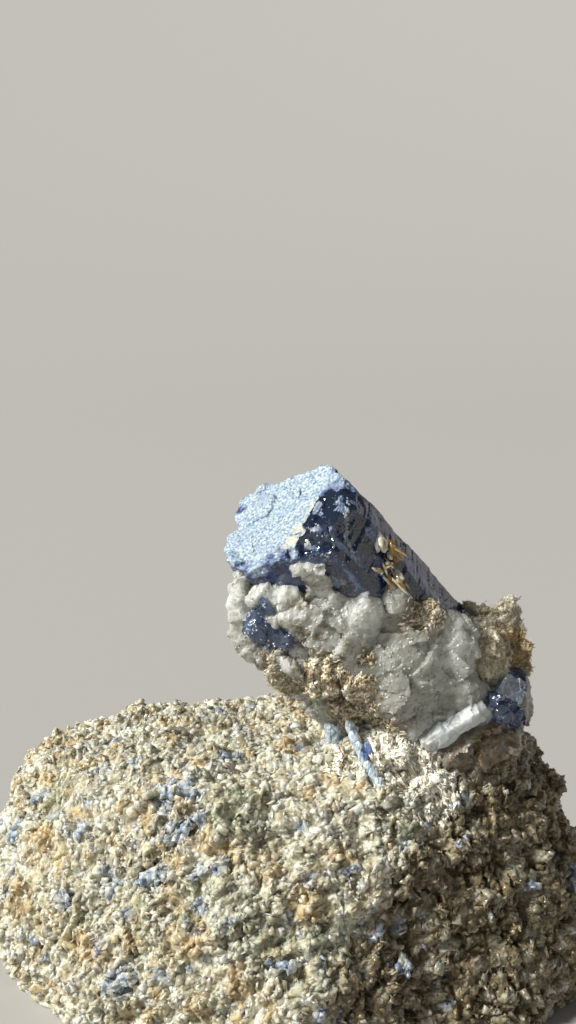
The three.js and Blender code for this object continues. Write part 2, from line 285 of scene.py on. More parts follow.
def flake_shape(sides):
    """A plate one unit wide and thick, a little smaller on one face."""
    return small_shape(
        lambda shape: bmesh.ops.create_cone(
            shape, cap_ends=True, segments=sides, radius1=0.5, radius2=0.45, depth=1
        )
    )


def block_shape():
    """An angular grain one unit wide."""
    return small_shape(lambda shape: bmesh.ops.create_cube(shape, size=0.9))


def scattered(mesh, count, rng, weight=None):
    """Random places on a mesh, evenly spread or by a weight for each place, and the normals there."""
    mesh.calc_loop_triangles()
    corners = np.empty(len(mesh.loop_triangles) * 3, int)
    mesh.loop_triangles.foreach_get("vertices", corners)
    points = read_places(mesh)
    sides = points[corners.reshape(-1, 3)]
    cross = np.cross(sides[:, 1] - sides[:, 0], sides[:, 2] - sides[:, 0])
    share = np.linalg.norm(cross, axis=1)
    if weight is not None:
        share = share * weight(sides.mean(1), unit(cross))
    picked = rng.choice(len(share), count, p=share / share.sum())
    a, b = rng.random((2, count, 1))
    a, b = np.where(a + b > 1, 1 - a, a), np.where(a + b > 1, 1 - b, b)
    first, second, third = sides[picked].transpose(1, 0, 2)
    return first + a * (second - first) + b * (third - first), unit(cross[picked])


def plate_sizes(lengths, widths, depths):
    """Sizes for each item, from values for each or one for all."""
    return np.stack(np.broadcast_arrays(lengths, widths, depths), axis=1)


def turned(normals, rng, along=None, stray=0.3):
    """Axes for each item: the third is its normal, the first is near a direction or turned at random."""
    guide = rng.normal(size=normals.shape)
    if along is not None:
        guide = along + stray * guide
    second = unit(np.cross(normals, guide))
    return np.stack((np.cross(second, normals), second, normals), axis=1)


def joined(shape, centres, axes, sizes, rng, wear=0.15):
    """One mesh of many copies of a small shape, each with its place, axes and sizes, and worn corners."""
    points, corners, counts = shape
    total = len(centres)
    local = points * sizes[:, None, :] * rng.uniform(1 - wear, 1 + wear, (total, len(points), 1))
    placed = np.einsum("nvi,nij->nvj", local, axes) + centres[:, None, :]
    mesh = bpy.data.meshes.new("strewn")
    mesh.vertices.add(total * len(points))
    mesh.loops.add(total * len(corners))
    mesh.polygons.add(total * len(counts))
    first_corner = np.arange(total)[:, None] * len(points)
    mesh.loops.foreach_set("vertex_index", (corners + first_corner).ravel())
    starts = np.concatenate(([0], np.cumsum(counts)[:-1]))
    mesh.polygons.foreach_set(
        "loop_start", (starts + np.arange(total)[:, None] * len(corners)).ravel()
    )
    write_places(mesh, placed.reshape(-1, 3))
    mesh.update(calc_edges=True)
    mesh.validate()
    return mesh


def settled(points, mesh):
    """The nearest places on a mesh to some points, and the normals there."""
    ground, normals = read_places(mesh), read_normals(mesh)
    nearest = [int(np.argmin(((ground - point) ** 2).sum(1))) for point in points]
    return ground[nearest], normals[nearest]


def each(values, shape):
    """Repeats one value for each item over the item's vertices."""
    return np.repeat(values, len(shape[0]))


# Materials


def add_node(tree, kind, links=None, **settings):
    """Adds a shader node, with its settings and its inputs' values or links."""
    node = tree.nodes.new(kind)
    for name, value in settings.items():
        setattr(node, name, value)
    for name, value in (links or {}).items():
        if isinstance(value, bpy.types.NodeSocket):
            tree.links.new(value, node.inputs[name])
        else:
            node.inputs[name].default_value = value
    return node


def colour(red, green, blue):
    """A colour with full alpha, from linear values."""
    return (red, green, blue, 1.0)


def new_material(name, **values):
    """A material with its Principled shader, whose plain values are set on its own sockets."""
    material = bpy.data.materials.new(name)
    material.use_nodes = True
    tree = material.node_tree
    shader = tree.nodes["Principled BSDF"]
    for socket, value in values.items():
        shader.inputs[socket.replace("_", " ")].default_value = value
    return material, tree, shader


def object_place(tree):
    """The Object coordinates of a texture."""
    return add_node(tree, "ShaderNodeTexCoord").outputs["Object"]


def mask_of(tree, name):
    """A number stored on the mesh."""
    node = add_node(tree, "ShaderNodeAttribute", attribute_name=name)
    return node.outputs["Fac"]


def mixed(tree, share, first, second, blend="MIX"):
    """A mix of two colours."""
    node = add_node(tree, "ShaderNodeMix", data_type="RGBA", blend_type=blend)
    for index, value in ((0, share), (6, first), (7, second)):
        if isinstance(value, bpy.types.NodeSocket):
            tree.links.new(value, node.inputs[index])
        else:
            node.inputs[index].default_value = value
    return node.outputs[2]


def ranged(tree, value, low, high, to_low=0.0, to_high=1.0):
    """A value carried from one range to another, held within it."""
    node = add_node(
        tree,
        "ShaderNodeMapRange",
        {"Value": value, "From Min": low, "From Max": high, "To Min": to_low, "To Max": to_high},
    )
    return node.outputs["Result"]


def add_relief(tree, shader, height, strength, depth):
    """Bumps a shader's surface by a height that stands for a depth in millimetres."""
    relief = add_node(
        tree, "ShaderNodeBump", {"Strength": strength, "Distance": depth * MM, "Height": height}
    )
    tree.links.new(relief.outputs["Normal"], shader.inputs["Normal"])


def new_group(name, inputs, outputs):
    """An empty node group with named inputs and outputs, and its two end nodes."""
    tree = bpy.data.node_groups.new(name, "ShaderNodeTree")
    for socket, kind, value in inputs:
        item = tree.interface.new_socket(socket, in_out="INPUT", socket_type=kind)
        item.default_value = value
    for socket, kind in outputs:
        tree.interface.new_socket(socket, in_out="OUTPUT", socket_type=kind)
    return tree, tree.nodes.new("NodeGroupInput"), tree.nodes.new("NodeGroupOutput")


def group_node(tree, name, links):
    """One use of a shared node group."""
    node = tree.nodes.new("ShaderNodeGroup")
    node.node_tree = bpy.data.node_groups[name]
    for socket, value in links.items():
        if isinstance(value, bpy.types.NodeSocket):
            tree.links.new(value, node.inputs[socket])
        else:
            node.inputs[socket].default_value = value
    return node


def make_crumb_group():
    """Fine crumbs: a height for the bump and a mask of the pits between them, which the materials darken as
    painted shade.
    """
    tree, start, end = new_group(
        "crumb",
        [
            ("Place", "NodeSocketVector", (0, 0, 0)),
            ("Crumbs per metre", "NodeSocketFloat", 3000.0),
        ],
        [("Height", "NodeSocketFloat"), ("Pit shade", "NodeSocketFloat")],
    )
    place, scale = start.outputs[0], start.outputs[1]
    cells = add_node(tree, "ShaderNodeTexVoronoi", {"Vector": place, "Scale": scale})
    waves = add_node(
        tree, "ShaderNodeTexNoise", {"Vector": place, "Scale": scale, "Detail": 3.0}
    )
    height = add_node(
        tree,
        "ShaderNodeMath",
        {0: cells.outputs["Distance"], 1: waves.outputs["Fac"]},
        operation="SUBTRACT",
    )
    tree.links.new(ranged(tree, height.outputs[0], 0.3, -0.6), end.inputs["Height"])
    tree.links.new(ranged(tree, height.outputs[0], -0.02, 0.18), end.inputs["Pit shade"])


def make_tint_group():
    """Three tones of an earthy mineral by a number for each grain, stained by rust and by green, made blue
    by its blue mask, and darkened to dark brown by a mask that is partly painted shade.
    """
    tree, start, end = new_group(
        "mineral_tint",
        [
            ("Place", "NodeSocketVector", (0, 0, 0)),
            ("Tone", "NodeSocketFloat", 0.5),
            ("Rust", "NodeSocketFloat", 0.0),
            ("Moss", "NodeSocketFloat", 0.0),
            ("Blue", "NodeSocketFloat", 0.0),
            ("Brown and shade", "NodeSocketFloat", 0.0),
            ("Pale", "NodeSocketColor", colour(0.8, 0.75, 0.65)),
            ("Middle", "NodeSocketColor", colour(0.5, 0.4, 0.28)),
            ("Deep", "NodeSocketColor", colour(0.2, 0.13, 0.07)),
            ("Rusty", "NodeSocketColor", colour(0.35, 0.17, 0.05)),
            ("Mossy", "NodeSocketColor", colour(0.22, 0.26, 0.17)),
        ],
        [("Color", "NodeSocketColor")],
    )
    value = {socket.name: socket for socket in start.outputs if socket.name}
    cloud = add_node(
        tree, "ShaderNodeTexNoise", {"Vector": value["Place"], "Scale": 1500.0, "Detail": 4.0}
    )
    spread = add_node(
        tree, "ShaderNodeMath", {0: cloud.outputs["Fac"], 1: value["Tone"]}, operation="ADD"
    )
    light = mixed(
        tree, ranged(tree, spread.outputs[0], 0.7, 1.1), value["Pale"], value["Middle"]
    )
    dark = mixed(tree, ranged(tree, spread.outputs[0], 1.15, 1.45), light, value["Deep"])
    rusty = mixed(tree, value["Rust"], dark, value["Rusty"])
    mossy = mixed(tree, value["Moss"], rusty, value["Mossy"])
    # Dark brown where the mask says so: painted shade, and real brown patches
    brown = mixed(tree, value["Brown and shade"], mossy, colour(*BROWN_AND_SHADE))
    depth = ranged(tree, spread.outputs[0], 0.7, 1.3)
    bluish = mixed(tree, depth, colour(*PALE_BLUE), colour(*DEEP_BLUE))
    tree.links.new(mixed(tree, value["Blue"], brown, bluish), end.inputs["Color"])


# Colours of the earthy minerals and of their stains
CREAM = (0.7, 0.7, 0.58)
TAN = (0.5, 0.47, 0.34)
UMBER = (0.2, 0.17, 0.11)
RUST = (0.55, 0.39, 0.18)
MOSS = (0.34, 0.36, 0.25)
# Dark brown for painted shade on the schist's right side, and for real brown patches
BROWN_AND_SHADE = (0.155, 0.12, 0.062)
PALE_BLUE = (0.42, 0.48, 0.55)
DEEP_BLUE = (0.13, 0.17, 0.25)

# Light that wanders a little way into a grain
SOFT = {
    "Subsurface_Weight": 0.8,
    "Subsurface_Radius": (0.0011, 0.001, 0.0008),
    "Subsurface_Scale": 1.0,
}


def mineral(name, pale, middle, deep, rusty=RUST, crumbs=3000.0, bump=0.4, depth=0.05, **values):
    """An opaque mineral whose tone, rust and moss are read from the mesh."""
    material, tree, shader = new_material(name, **values)
    place = object_place(tree)
    tint = group_node(
        tree,
        "mineral_tint",
        {
            "Place": place,
            "Tone": mask_of(tree, "tone"),
            "Rust": mask_of(tree, "rust"),
            "Moss": mask_of(tree, "moss"),
            "Blue": mask_of(tree, "blue"),
            "Brown and shade": mask_of(tree, "brown"),
            "Pale": colour(*pale),
            "Middle": colour(*middle),
            "Deep": colour(*deep),
            "Rusty": colour(*rusty),
            "Mossy": colour(*MOSS),
        },
    )
    crumb = group_node(tree, "crumb", {"Place": place, "Crumbs per metre": crumbs})
    # Painted shade: the colour is darkened in the pits between crumbs
    shaded = mixed(
        tree, crumb.outputs["Pit shade"], tint.outputs["Color"], colour(0.7, 0.66, 0.6), "MULTIPLY"
    )
    tree.links.new(shaded, shader.inputs["Base Color"])
    add_relief(tree, shader, crumb.outputs["Height"], bump, depth)
    return material


# Stains of the schist: place, radius, strength
RUSTY_SPOTS = [
    (-24.7, -7.1, 16.8, 2.0, 0.6),
    (-26.5, -7.3, 10.7, 2.4, 0.6),
    (-19.7, -14.1, 8.5, 2.0, 0.6),
    (-8.8, -16.3, 21.1, 1.6, 0.7),
    (-5.1, -17.3, 19.6, 1.4, 0.6),
    (-2.1, -18.1, 18.4, 1.6, 0.7),
    (-8.9, -19.0, 11.2, 2.0, 0.6),
    (1.1, -19.3, 15.6, 2.4, 0.5),
    (6.6, -12.6, 23.6, 1.0, 0.8),
]
MOSSY_SPOTS = [
    (-22.6, -5.3, 20.8, 2.6, 0.7),
    (-4.0, -15.5, 22.8, 3.0, 0.7),
    (-2.5, -19.6, 12.9, 2.6, 0.6),
    (3.8, -19.9, 10.1, 2.6, 0.5),
    (12.3, -14.2, 20.4, 3.0, 0.4),
    (-6.0, -2.0, 24.4, 3.0, 0.4),
]
GRAIN_NODES = [f"blue_grain_{number:02d}" for number in range(1, 14)]
# Blue patches in the schist
BLUE_PATCHES = [
    (-20.0, -9.9, 19.1, 0.8, 0.9),
    (-17.3, -13.0, 15.5, 1.0, 0.8),
    (-16.6, -13.4, 15.1, 0.8, 0.7),
    (-8.3, -17.4, 17.7, 0.9, 0.8),
    (-8.1, -18.1, 14.4, 0.8, 0.9),
    (-8.8, -18.9, 12.4, 0.6, 1.0),
    (-17.9, -15.2, 9.3, 0.9, 0.8),
    (-11.7, -17.5, 7.6, 1.0, 0.8),
    (-18.8, -5.9, 23.0, 0.9, 0.9),
    (-18.2, -5.6, 23.2, 0.8, 0.8),
    (-8.2, -13.9, 24.0, 0.9, 1.0),
    (-6.2, -5.4, 24.4, 0.9, 0.9),
    (-27.9, -4.5, 13.3, 1.2, 0.8),
    (-12.0, -16.0, 16.4, 0.9, 0.9),
    (-12.8, -15.6, 15.8, 0.8, 0.8),
    (2.0, -18.0, 17.0, 0.8, 0.7),
]
LEAF_THICKNESS = 0.05  # of single leaves of mica
LAYER_DEPTH = 1.7  # thickness of the schist's layers
BARE_HEIGHT = 1.2  # height over the underside up to which the schist is cut clean


def blue_specks(points):
    """Strength from 0 to 1 of the small blue patches, which are strung along the layers."""
    run = unit(np.cross(LAYERS, (0.0, 1.0, 0.0)))
    pressed = points - 0.45 * (points @ run)[:, None] * run
    wavy = pressed + 0.35 * bumps(points, 0.9, 48, 2)[:, None]
    middle, _, number = grains(wavy, 1.9, 46)
    return np.clip((0.18 + 0.22 * number - middle) / 0.1, 0, 1) * np.clip(number * 4 - 1.0, 0, 1)


def shaded_side(points):
    """Strength from 0 to 1 of the right side, beyond the ridge down the block's front, where the schist is
    darkened brown as painted shade.
    """
    beyond = points[:, 0] - 0.74 * points[:, 2] + 3.4
    return np.clip(0.3 * beyond + 0.5 * bumps(points, 2.6, 49, 3), 0, 1)


def grain_places():
    """Patches round the larger blue grains, for the schist beside them."""
    places = []
    for node in GRAIN_NODES:
        low, high = (np.array(corner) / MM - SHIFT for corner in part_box(node))
        places.append((*((low + high) / 2), 0.3 * float(np.max(high - low)) + 0.2, 0.8))
    return places


def schist_masks(mesh, points, tones, copies=1):
    """Stores the tones, the stains and the painted shade of a piece of schist, by places that each stand
    for some vertices.
    """
    patches = BLUE_PATCHES + grain_places()
    tones = 0.5 * tones + 0.16 + 0.3 * bumps(points, 2.2, 40, 3) + 0.16 * bumps(points, 9.0, 39)
    rust = np.clip(1.2 * bumps(points, 2.0, 41, 2) + 0.7 * bumps(points, 6.0, 42) - 0.05, 0, 0.7)
    moss = np.clip(0.9 * bumps(points, 2.4, 43, 2) + 0.7 * bumps(points, 7.0, 44) - 0.18, 0, 0.6)
    masks = {
        "tone": tones,
        "rust": np.maximum(rust, ragged(near(points, RUSTY_SPOTS), points, 1.5, 45)),
        "moss": np.maximum(moss, ragged(near(points, MOSSY_SPOTS), points, 1.5, 47)),
        "blue": np.maximum(blue_specks(points), ragged(near(points, patches), points, 0.6, 50, 0.8)),
        # Painted shade in dark brown on the right side beyond the ridge, and real brown patches
        "brown": np.maximum(
            shaded_side(points) * np.clip(0.9 - 1.1 * bumps(points, 1.2, 37, 3), 0.3, 0.95),
            np.clip(1.5 * bumps(points, 1.7, 38, 3) - 0.3, 0, 0.6),
        ),
    }
    for name, values in masks.items():
        write_mask(mesh, name, np.repeat(values, copies))


# Crumbs of schist that hold the sheath's foot: place and radii
FOOT_LUMPS = [
    ((9.6, -9.4, 26.2), (3.2, 2.0, 2.2)),
    ((13.2, -9.0, 26.0), (3.0, 2.0, 2.0)),
    ((6.4, -8.0, 26.2), (2.2, 1.6, 1.7)),
    ((16.6, -7.6, 25.8), (2.6, 2.0, 2.0)),
    ((3.6, -7.2, 25.6), (1.8, 1.5, 1.5)),
    ((19.6, -6.0, 25.6), (2.6, 2.2, 2.2)),
    ((8.4, -8.4, 27.9), (2.6, 1.5, 1.6)),
    ((11.6, -8.6, 27.4), (2.4, 1.5, 1.6)),
]
# Silky white flakes below the sheath's foot: places in the schist, radius, strength
FLAKY_SPOTS = [
    (9.6, -9.4, 26.6, 2.2, 1.0),
    (11.6, -10.4, 25.6, 2.6, 1.0),
    (13.4, -11.2, 24.4, 2.4, 0.9),
    (8.0, -10.6, 25.0, 1.6, 0.4),
    (14.0, -12.6, 22.4, 2.0, 0.6),
    (5.2, -9.8, 24.8, 1.9, 0.45),
]


class SchistSettings(bpy.types.PropertyGroup):
    """Sizes and colours of the schist."""

    grain: FloatProperty(
        name="Grain", description="Width of the schist's grains", default=0.00125, subtype="DISTANCE"
    )
    flake_size: FloatProperty(
        name="Flake size", description="Width of a mica flake", default=0.0008, subtype="DISTANCE"
    )
    cream: FloatVectorProperty(
        name="Cream", description="Colour of the palest grains", default=CREAM, subtype="COLOR"
    )
    tan: FloatVectorProperty(
        name="Tan", description="Colour of the middle grains", default=TAN, subtype="COLOR"
    )


class SapphireSettings(bpy.types.PropertyGroup):
    """Colour of the sapphire."""

    blue: FloatVectorProperty(
        name="Blue", description="Light that passes a sapphire", default=(0.12, 0.24, 0.62), subtype="COLOR"
    )
    depth: FloatProperty(
        name="Depth", description="How fast the main sapphire takes up light", default=160.0
    )


class QuartzSettings(bpy.types.PropertyGroup):
    """Colour of the quartz."""

    grey: FloatVectorProperty(
        name="Grey", description="Colour of the clearer quartz", default=(0.4, 0.41, 0.36), subtype="COLOR"
    )
    white: FloatVectorProperty(
        name="White", description="Colour of the milky quartz", default=(0.8, 0.82, 0.78), subtype="COLOR"
    )


class StageSettings(bpy.types.PropertyGroup):
    """Lights of the studio."""

    key: FloatProperty(name="Key", description="Strength of the main light", default=6.0, subtype="POWER")
    fill: FloatProperty(name="Fill", description="Strength of the world's light", default=0.1)


class SPECIMEN_OT_schist(bpy.types.Operator):
    """Builds the granular block of schist"""

    bl_idname = "specimen.schist"
    bl_label = "Schist block"

    def execute(self, context):
        settings = context.scene.schist
        grain = settings.grain / MM
        shape = copy_of("mica_schist_block")
        for at, radii in FOOT_LUMPS:
            add_lump(shape, at, radii)
        mesh = remeshed(shape, VOXELS["schist"], 14)
        points = read_places(mesh)
        normals = read_normals(mesh)
        rise = np.clip(points[:, 2] / BARE_HEIGHT, 0, 1)
        lumps = 0.7 * bumps(points, 5.0, 1, 3) + 0.35 * bumps(points, 2.2, 2)
        layer = ((points @ LAYERS) + 1.2 * bumps(points, 7.0, 3)) / LAYER_DEPTH
        part = layer - np.floor(layer)
        ledges = 0.3 * (np.minimum(part, (1 - part) * 4) - 0.4)
        middle, edge, tones = grains(points, grain, 4)
        crumbs = 0.3 * (0.45 - middle) - 0.2 * np.exp(-((edge / 0.12) ** 2))
        tilted = 0.6 * facets(points, 1.9, 7) + 0.4 * facets(points, 0.8, 8)
        split = np.exp(-((bumps(points * (1.0, 1.0, 0.6), 3.4, 6, 3) / 0.08) ** 2))
        cracks = -split * (0.55 + 0.75 * shaded_side(points))
        folds = shaded_side(points) * 0.6 * bumps(points * (1.0, 1.0, 0.5), 2.6, 9, 2)
        move = (0.1 + lumps + ledges + crumbs + tilted + cracks + folds) * rise
        points = points + normals * move[:, None]
        points[:, 2] = np.maximum(points[:, 2], 0)
        write_places(mesh, points)
        schist_masks(mesh, points, tones)
        stone = mineral(
            "schist_stone", settings.cream, settings.tan, UMBER, Roughness=0.62, **SOFT
        )
        add_piece("schist_rock", mesh, [stone], ["mica_schist_block"])
        return {"FINISHED"}


class SPECIMEN_OT_flakes(bpy.types.Operator):
    """Strews the flakes of mica and the grains of feldspar over the schist"""

    bl_idname = "specimen.flakes"
    bl_label = "Mica flakes and grains"

    def execute(self, context):
        settings = context.scene.schist
        ground = bpy.data.objects["schist_rock"].data
        wide = settings.flake_size / MM
        plate, block = flake_shape(4), block_shape()
        kinds = [
            ("mica_flakes_pale", plate, 15000, (0.76, 0.76, 0.66), (0.6, 0.57, 0.45), 0.3, 0.12, 0.74, 51),
            ("mica_flakes_gold", plate, 11000, (0.62, 0.54, 0.37), (0.42, 0.35, 0.21), 0.3, 0.12, 0.7, 52),
            ("feldspar_grains", block, 14500, (0.78, 0.78, 0.7), (0.62, 0.6, 0.5), 0.45, 0.6, 0.58, 53),
            ("smoky_grains", block, 9000, (0.5, 0.5, 0.43), (0.32, 0.3, 0.23), 0.3, 0.7, 0.6, 54),
        ]
        for name, shape, count, pale, middle, rough, thick, size, seed in kinds:
            rng = np.random.default_rng(seed)
            centres, normals = scattered(ground, count, rng, above_base)
            sides = np.where(rng.random((len(normals), 1)) < 0.5, -1, 1)
            face = unit(0.8 * normals + 0.2 * sides * LAYERS + 0.22 * rng.normal(size=normals.shape))
            lengths = size * wide * rng.lognormal(-0.25, 0.42, len(centres)).clip(0.35, 1.8)
            sizes = plate_sizes(
                lengths * rng.uniform(1.0, 1.7, len(centres)), lengths,
                lengths * thick * rng.uniform(0.5, 1.3, len(centres)),
            )
            centres = centres + normals * rng.uniform(-0.2, 0.02, (len(centres), 1))
            mesh = joined(shape, centres, turned(face, rng), sizes, rng, 0.22)
            schist_masks(mesh, centres, rng.random(len(centres)), len(shape[0]))
            finish = mineral(
                name.replace("s_", "_"), pale, middle, UMBER, bump=0.25, depth=0.03,
                Roughness=rough, Coat_Weight=0.3, Coat_Roughness=0.12, **SOFT,
            )
            add_piece(name, mesh, [finish])
        self.add_silk(ground)
        return {"FINISHED"}

    def add_silk(self, ground):
        """The silky white flakes below the sheath's foot."""
        rng = np.random.default_rng(55)
        plate = flake_shape(4)
        centres, normals = scattered(
            ground, 3200, rng, lambda points, _: near(points, FLAKY_SPOTS) ** 2
        )
        lengths = rng.uniform(0.4, 1.4, len(centres))
        sizes = plate_sizes(lengths, rng.uniform(0.2, 0.6, len(centres)), LEAF_THICKNESS)
        swirl = np.stack([bumps(centres, 2.2, seed) for seed in (56, 57, 58)], axis=1)
        run = unit(np.array((0.5, -0.3, -0.7)) + 0.9 * swirl)
        face = unit(normals + 0.14 * rng.normal(size=normals.shape))
        centres = centres + normals * rng.uniform(-0.05, 0.15, (len(centres), 1))
        flakes = joined(plate, centres, turned(face, rng, run, 0.25), sizes, rng, 0.25)
        write_mask(flakes, "tone", each(rng.random(len(centres)) ** 1.5, plate))
        finish = mineral(
            "silky_mica", (0.94, 0.94, 0.86), (0.84, 0.81, 0.7), UMBER,
            bump=0.2, Roughness=0.5, Coat_Weight=0.1,
        )
        add_piece("silky_flakes", flakes, [finish])


def above_base(points, normals):
    """Weight that keeps small pieces off the cut underside."""
    return np.where(normals[:, 2] < -0.95, 0, 1) * (points[:, 2] > 0.5)


def frosted_blue():
    """The sapphire's etched end: white frost over blue, with creamy patches, and with painted shade that
    makes its pits darker and bluer.
    """
    material, tree, shader = new_material(
        "frosted_sapphire", Roughness=0.5, IOR=1.77, Subsurface_Weight=0.15,
        Subsurface_Radius=(0.0004, 0.0005, 0.0009), Subsurface_Scale=1.0,
    )
    place = object_place(tree)
    fine = add_node(tree, "ShaderNodeTexNoise", {"Vector": place, "Scale": 3600.0, "Detail": 2.0})
    broad = add_node(tree, "ShaderNodeTexNoise", {"Vector": place, "Scale": 420.0, "Detail": 4.0})
    crumb = group_node(tree, "crumb", {"Place": place, "Crumbs per metre": 3400.0})
    grit = ranged(tree, fine.outputs["Fac"], 0.36, 0.56)
    frost = mixed(tree, grit, colour(0.15, 0.23, 0.37), colour(0.48, 0.57, 0.59))
    haze = ranged(tree, broad.outputs["Fac"], 0.45, 0.7, 0.0, 0.6)
    cloudy = mixed(tree, haze, frost, colour(0.27, 0.36, 0.48))
    # Painted shade: darker and bluer in the pits between crumbs
    pit_shaded = mixed(tree, crumb.outputs["Pit shade"], cloudy, colour(0.6, 0.68, 0.78), "MULTIPLY")
    thin = ranged(tree, mask_of(tree, "frost"), 0.35, 0.95)
    faded = mixed(tree, thin, colour(0.02, 0.045, 0.16), pit_shaded)
    creamy = mixed(tree, mask_of(tree, "cream"), faded, colour(0.5, 0.49, 0.41))
    tree.links.new(creamy, shader.inputs["Base Color"])
    add_relief(tree, shader, crumb.outputs["Height"], 0.9, 0.1)
    return material


def clear_blue(name, tint, blue, depth, smooth, rough):
    """See-through sapphire: plain transmission with an absorption, its gloss broken by etched patches."""
    material, tree, shader = new_material(
        name, Base_Color=colour(*tint), Transmission_Weight=0.9, IOR=1.77
    )
    place = object_place(tree)
    etch = add_node(tree, "ShaderNodeTexNoise", {"Vector": place, "Scale": 700.0, "Detail": 5.0})
    tree.links.new(
        ranged(tree, etch.outputs["Fac"], 0.42, 0.66, smooth, rough), shader.inputs["Roughness"]
    )
    crumb = group_node(tree, "crumb", {"Place": place, "Crumbs per metre": 1500.0})
    add_relief(tree, shader, crumb.outputs["Height"], 0.12, 0.06)
    volume = add_node(
        tree, "ShaderNodeVolumeAbsorption", {"Color": colour(*blue), "Density": depth}
    )
    tree.links.new(volume.outputs["Volume"], tree.nodes["Material Output"].inputs["Volume"])
    return material


# The sapphire's section, round its axis
SECTION = [(-7.5, -0.3), (-6.5, 6.7), (3.7, 6.1), (7.9, 0.1), (5.0, -6.0), (-4.3, -5.4)]


def inside_rim(own):
    """How far places lie inside the sapphire's six sides."""
    gaps = []
    for first, second in zip(SECTION, SECTION[1:] + SECTION[:1]):
        side = unit(np.array(second) - first)
        gaps.append((own[:, 0] - first[0]) * side[1] - (own[:, 1] - first[1]) * side[0])
    return np.min(gaps, axis=0)


# Patches on the sapphire's end, in its own axes: place, radius, strength
CREAM_SPOTS = [
    (3.2, -0.6, 30.2, 0.7, 0.9),
    (2.2, -2.5, 30.2, 1.0, 0.9),
    (1.0, -3.8, 30.2, 0.9, 0.8),
    (2.8, -3.8, 30.0, 0.9, 0.9),
]
BLUE_SPOTS = [
    (-6.4, 5.0, 30.4, 0.9, 0.85),
    (-5.4, 4.2, 30.4, 0.6, 0.6),
    (-6.9, -2.4, 29.8, 1.0, 0.5),
    (-4.8, -4.6, 30.0, 1.3, 0.55),
    (-0.6, -5.2, 29.9, 1.5, 0.8),
]
FROST_LIMIT = (3.7, 0.42)  # where the frost ends across the crystal's end, and how that line slopes
# Worn edges of the sapphire: which corner, how far it still reaches from the axis, where the wear starts
WORN_EDGES = [(2, 6.5, 24), (3, 7.2, 4)]
UNDERSIDE = (-0.16, -0.81, -0.57)  # the way the sapphire's lower front side faces
# The ragged white crack across the crystal's dark side
CRACK = [
    (6.0, -13.0, 52.0), (5.3, -13.7, 50.3), (5.4, -14.0, 48.8), (5.2, -14.3, 48.0), (5.8, -14.2, 46.8),
]
LEAVES_PER_PLATE = 7
# Plates of mica on the dark side: place, length, width, normal, the way it runs, tone
SIDE_PLATES = [
    ((8.7, -11.7, 47.1), 3.6, 1.1, (285, 22), (20, -78), 0.0),
    ((9.6, -11.0, 46.7), 3.4, 0.9, (305, 40), (25, -74), 0.75),
    ((9.9, -10.8, 46.2), 2.4, 0.7, (280, 10), (40, -70), 0.9),
    ((9.3, -11.6, 45.2), 1.6, 0.5, (260, 30), (10, -60), 0.5),
    ((9.8, -12.0, 42.9), 3.4, 0.9, (300, 25), (20, -74), 0.7),
    ((10.3, -11.5, 43.6), 2.0, 0.6, (270, 35), (30, -66), 0.35),
    ((10.9, -10.6, 43.0), 1.8, 0.6, (320, 30), (10, -60), 0.85),
    ((8.2, -12.4, 44.6), 1.2, 0.5, (290, 50), (60, -50), 0.2),
]


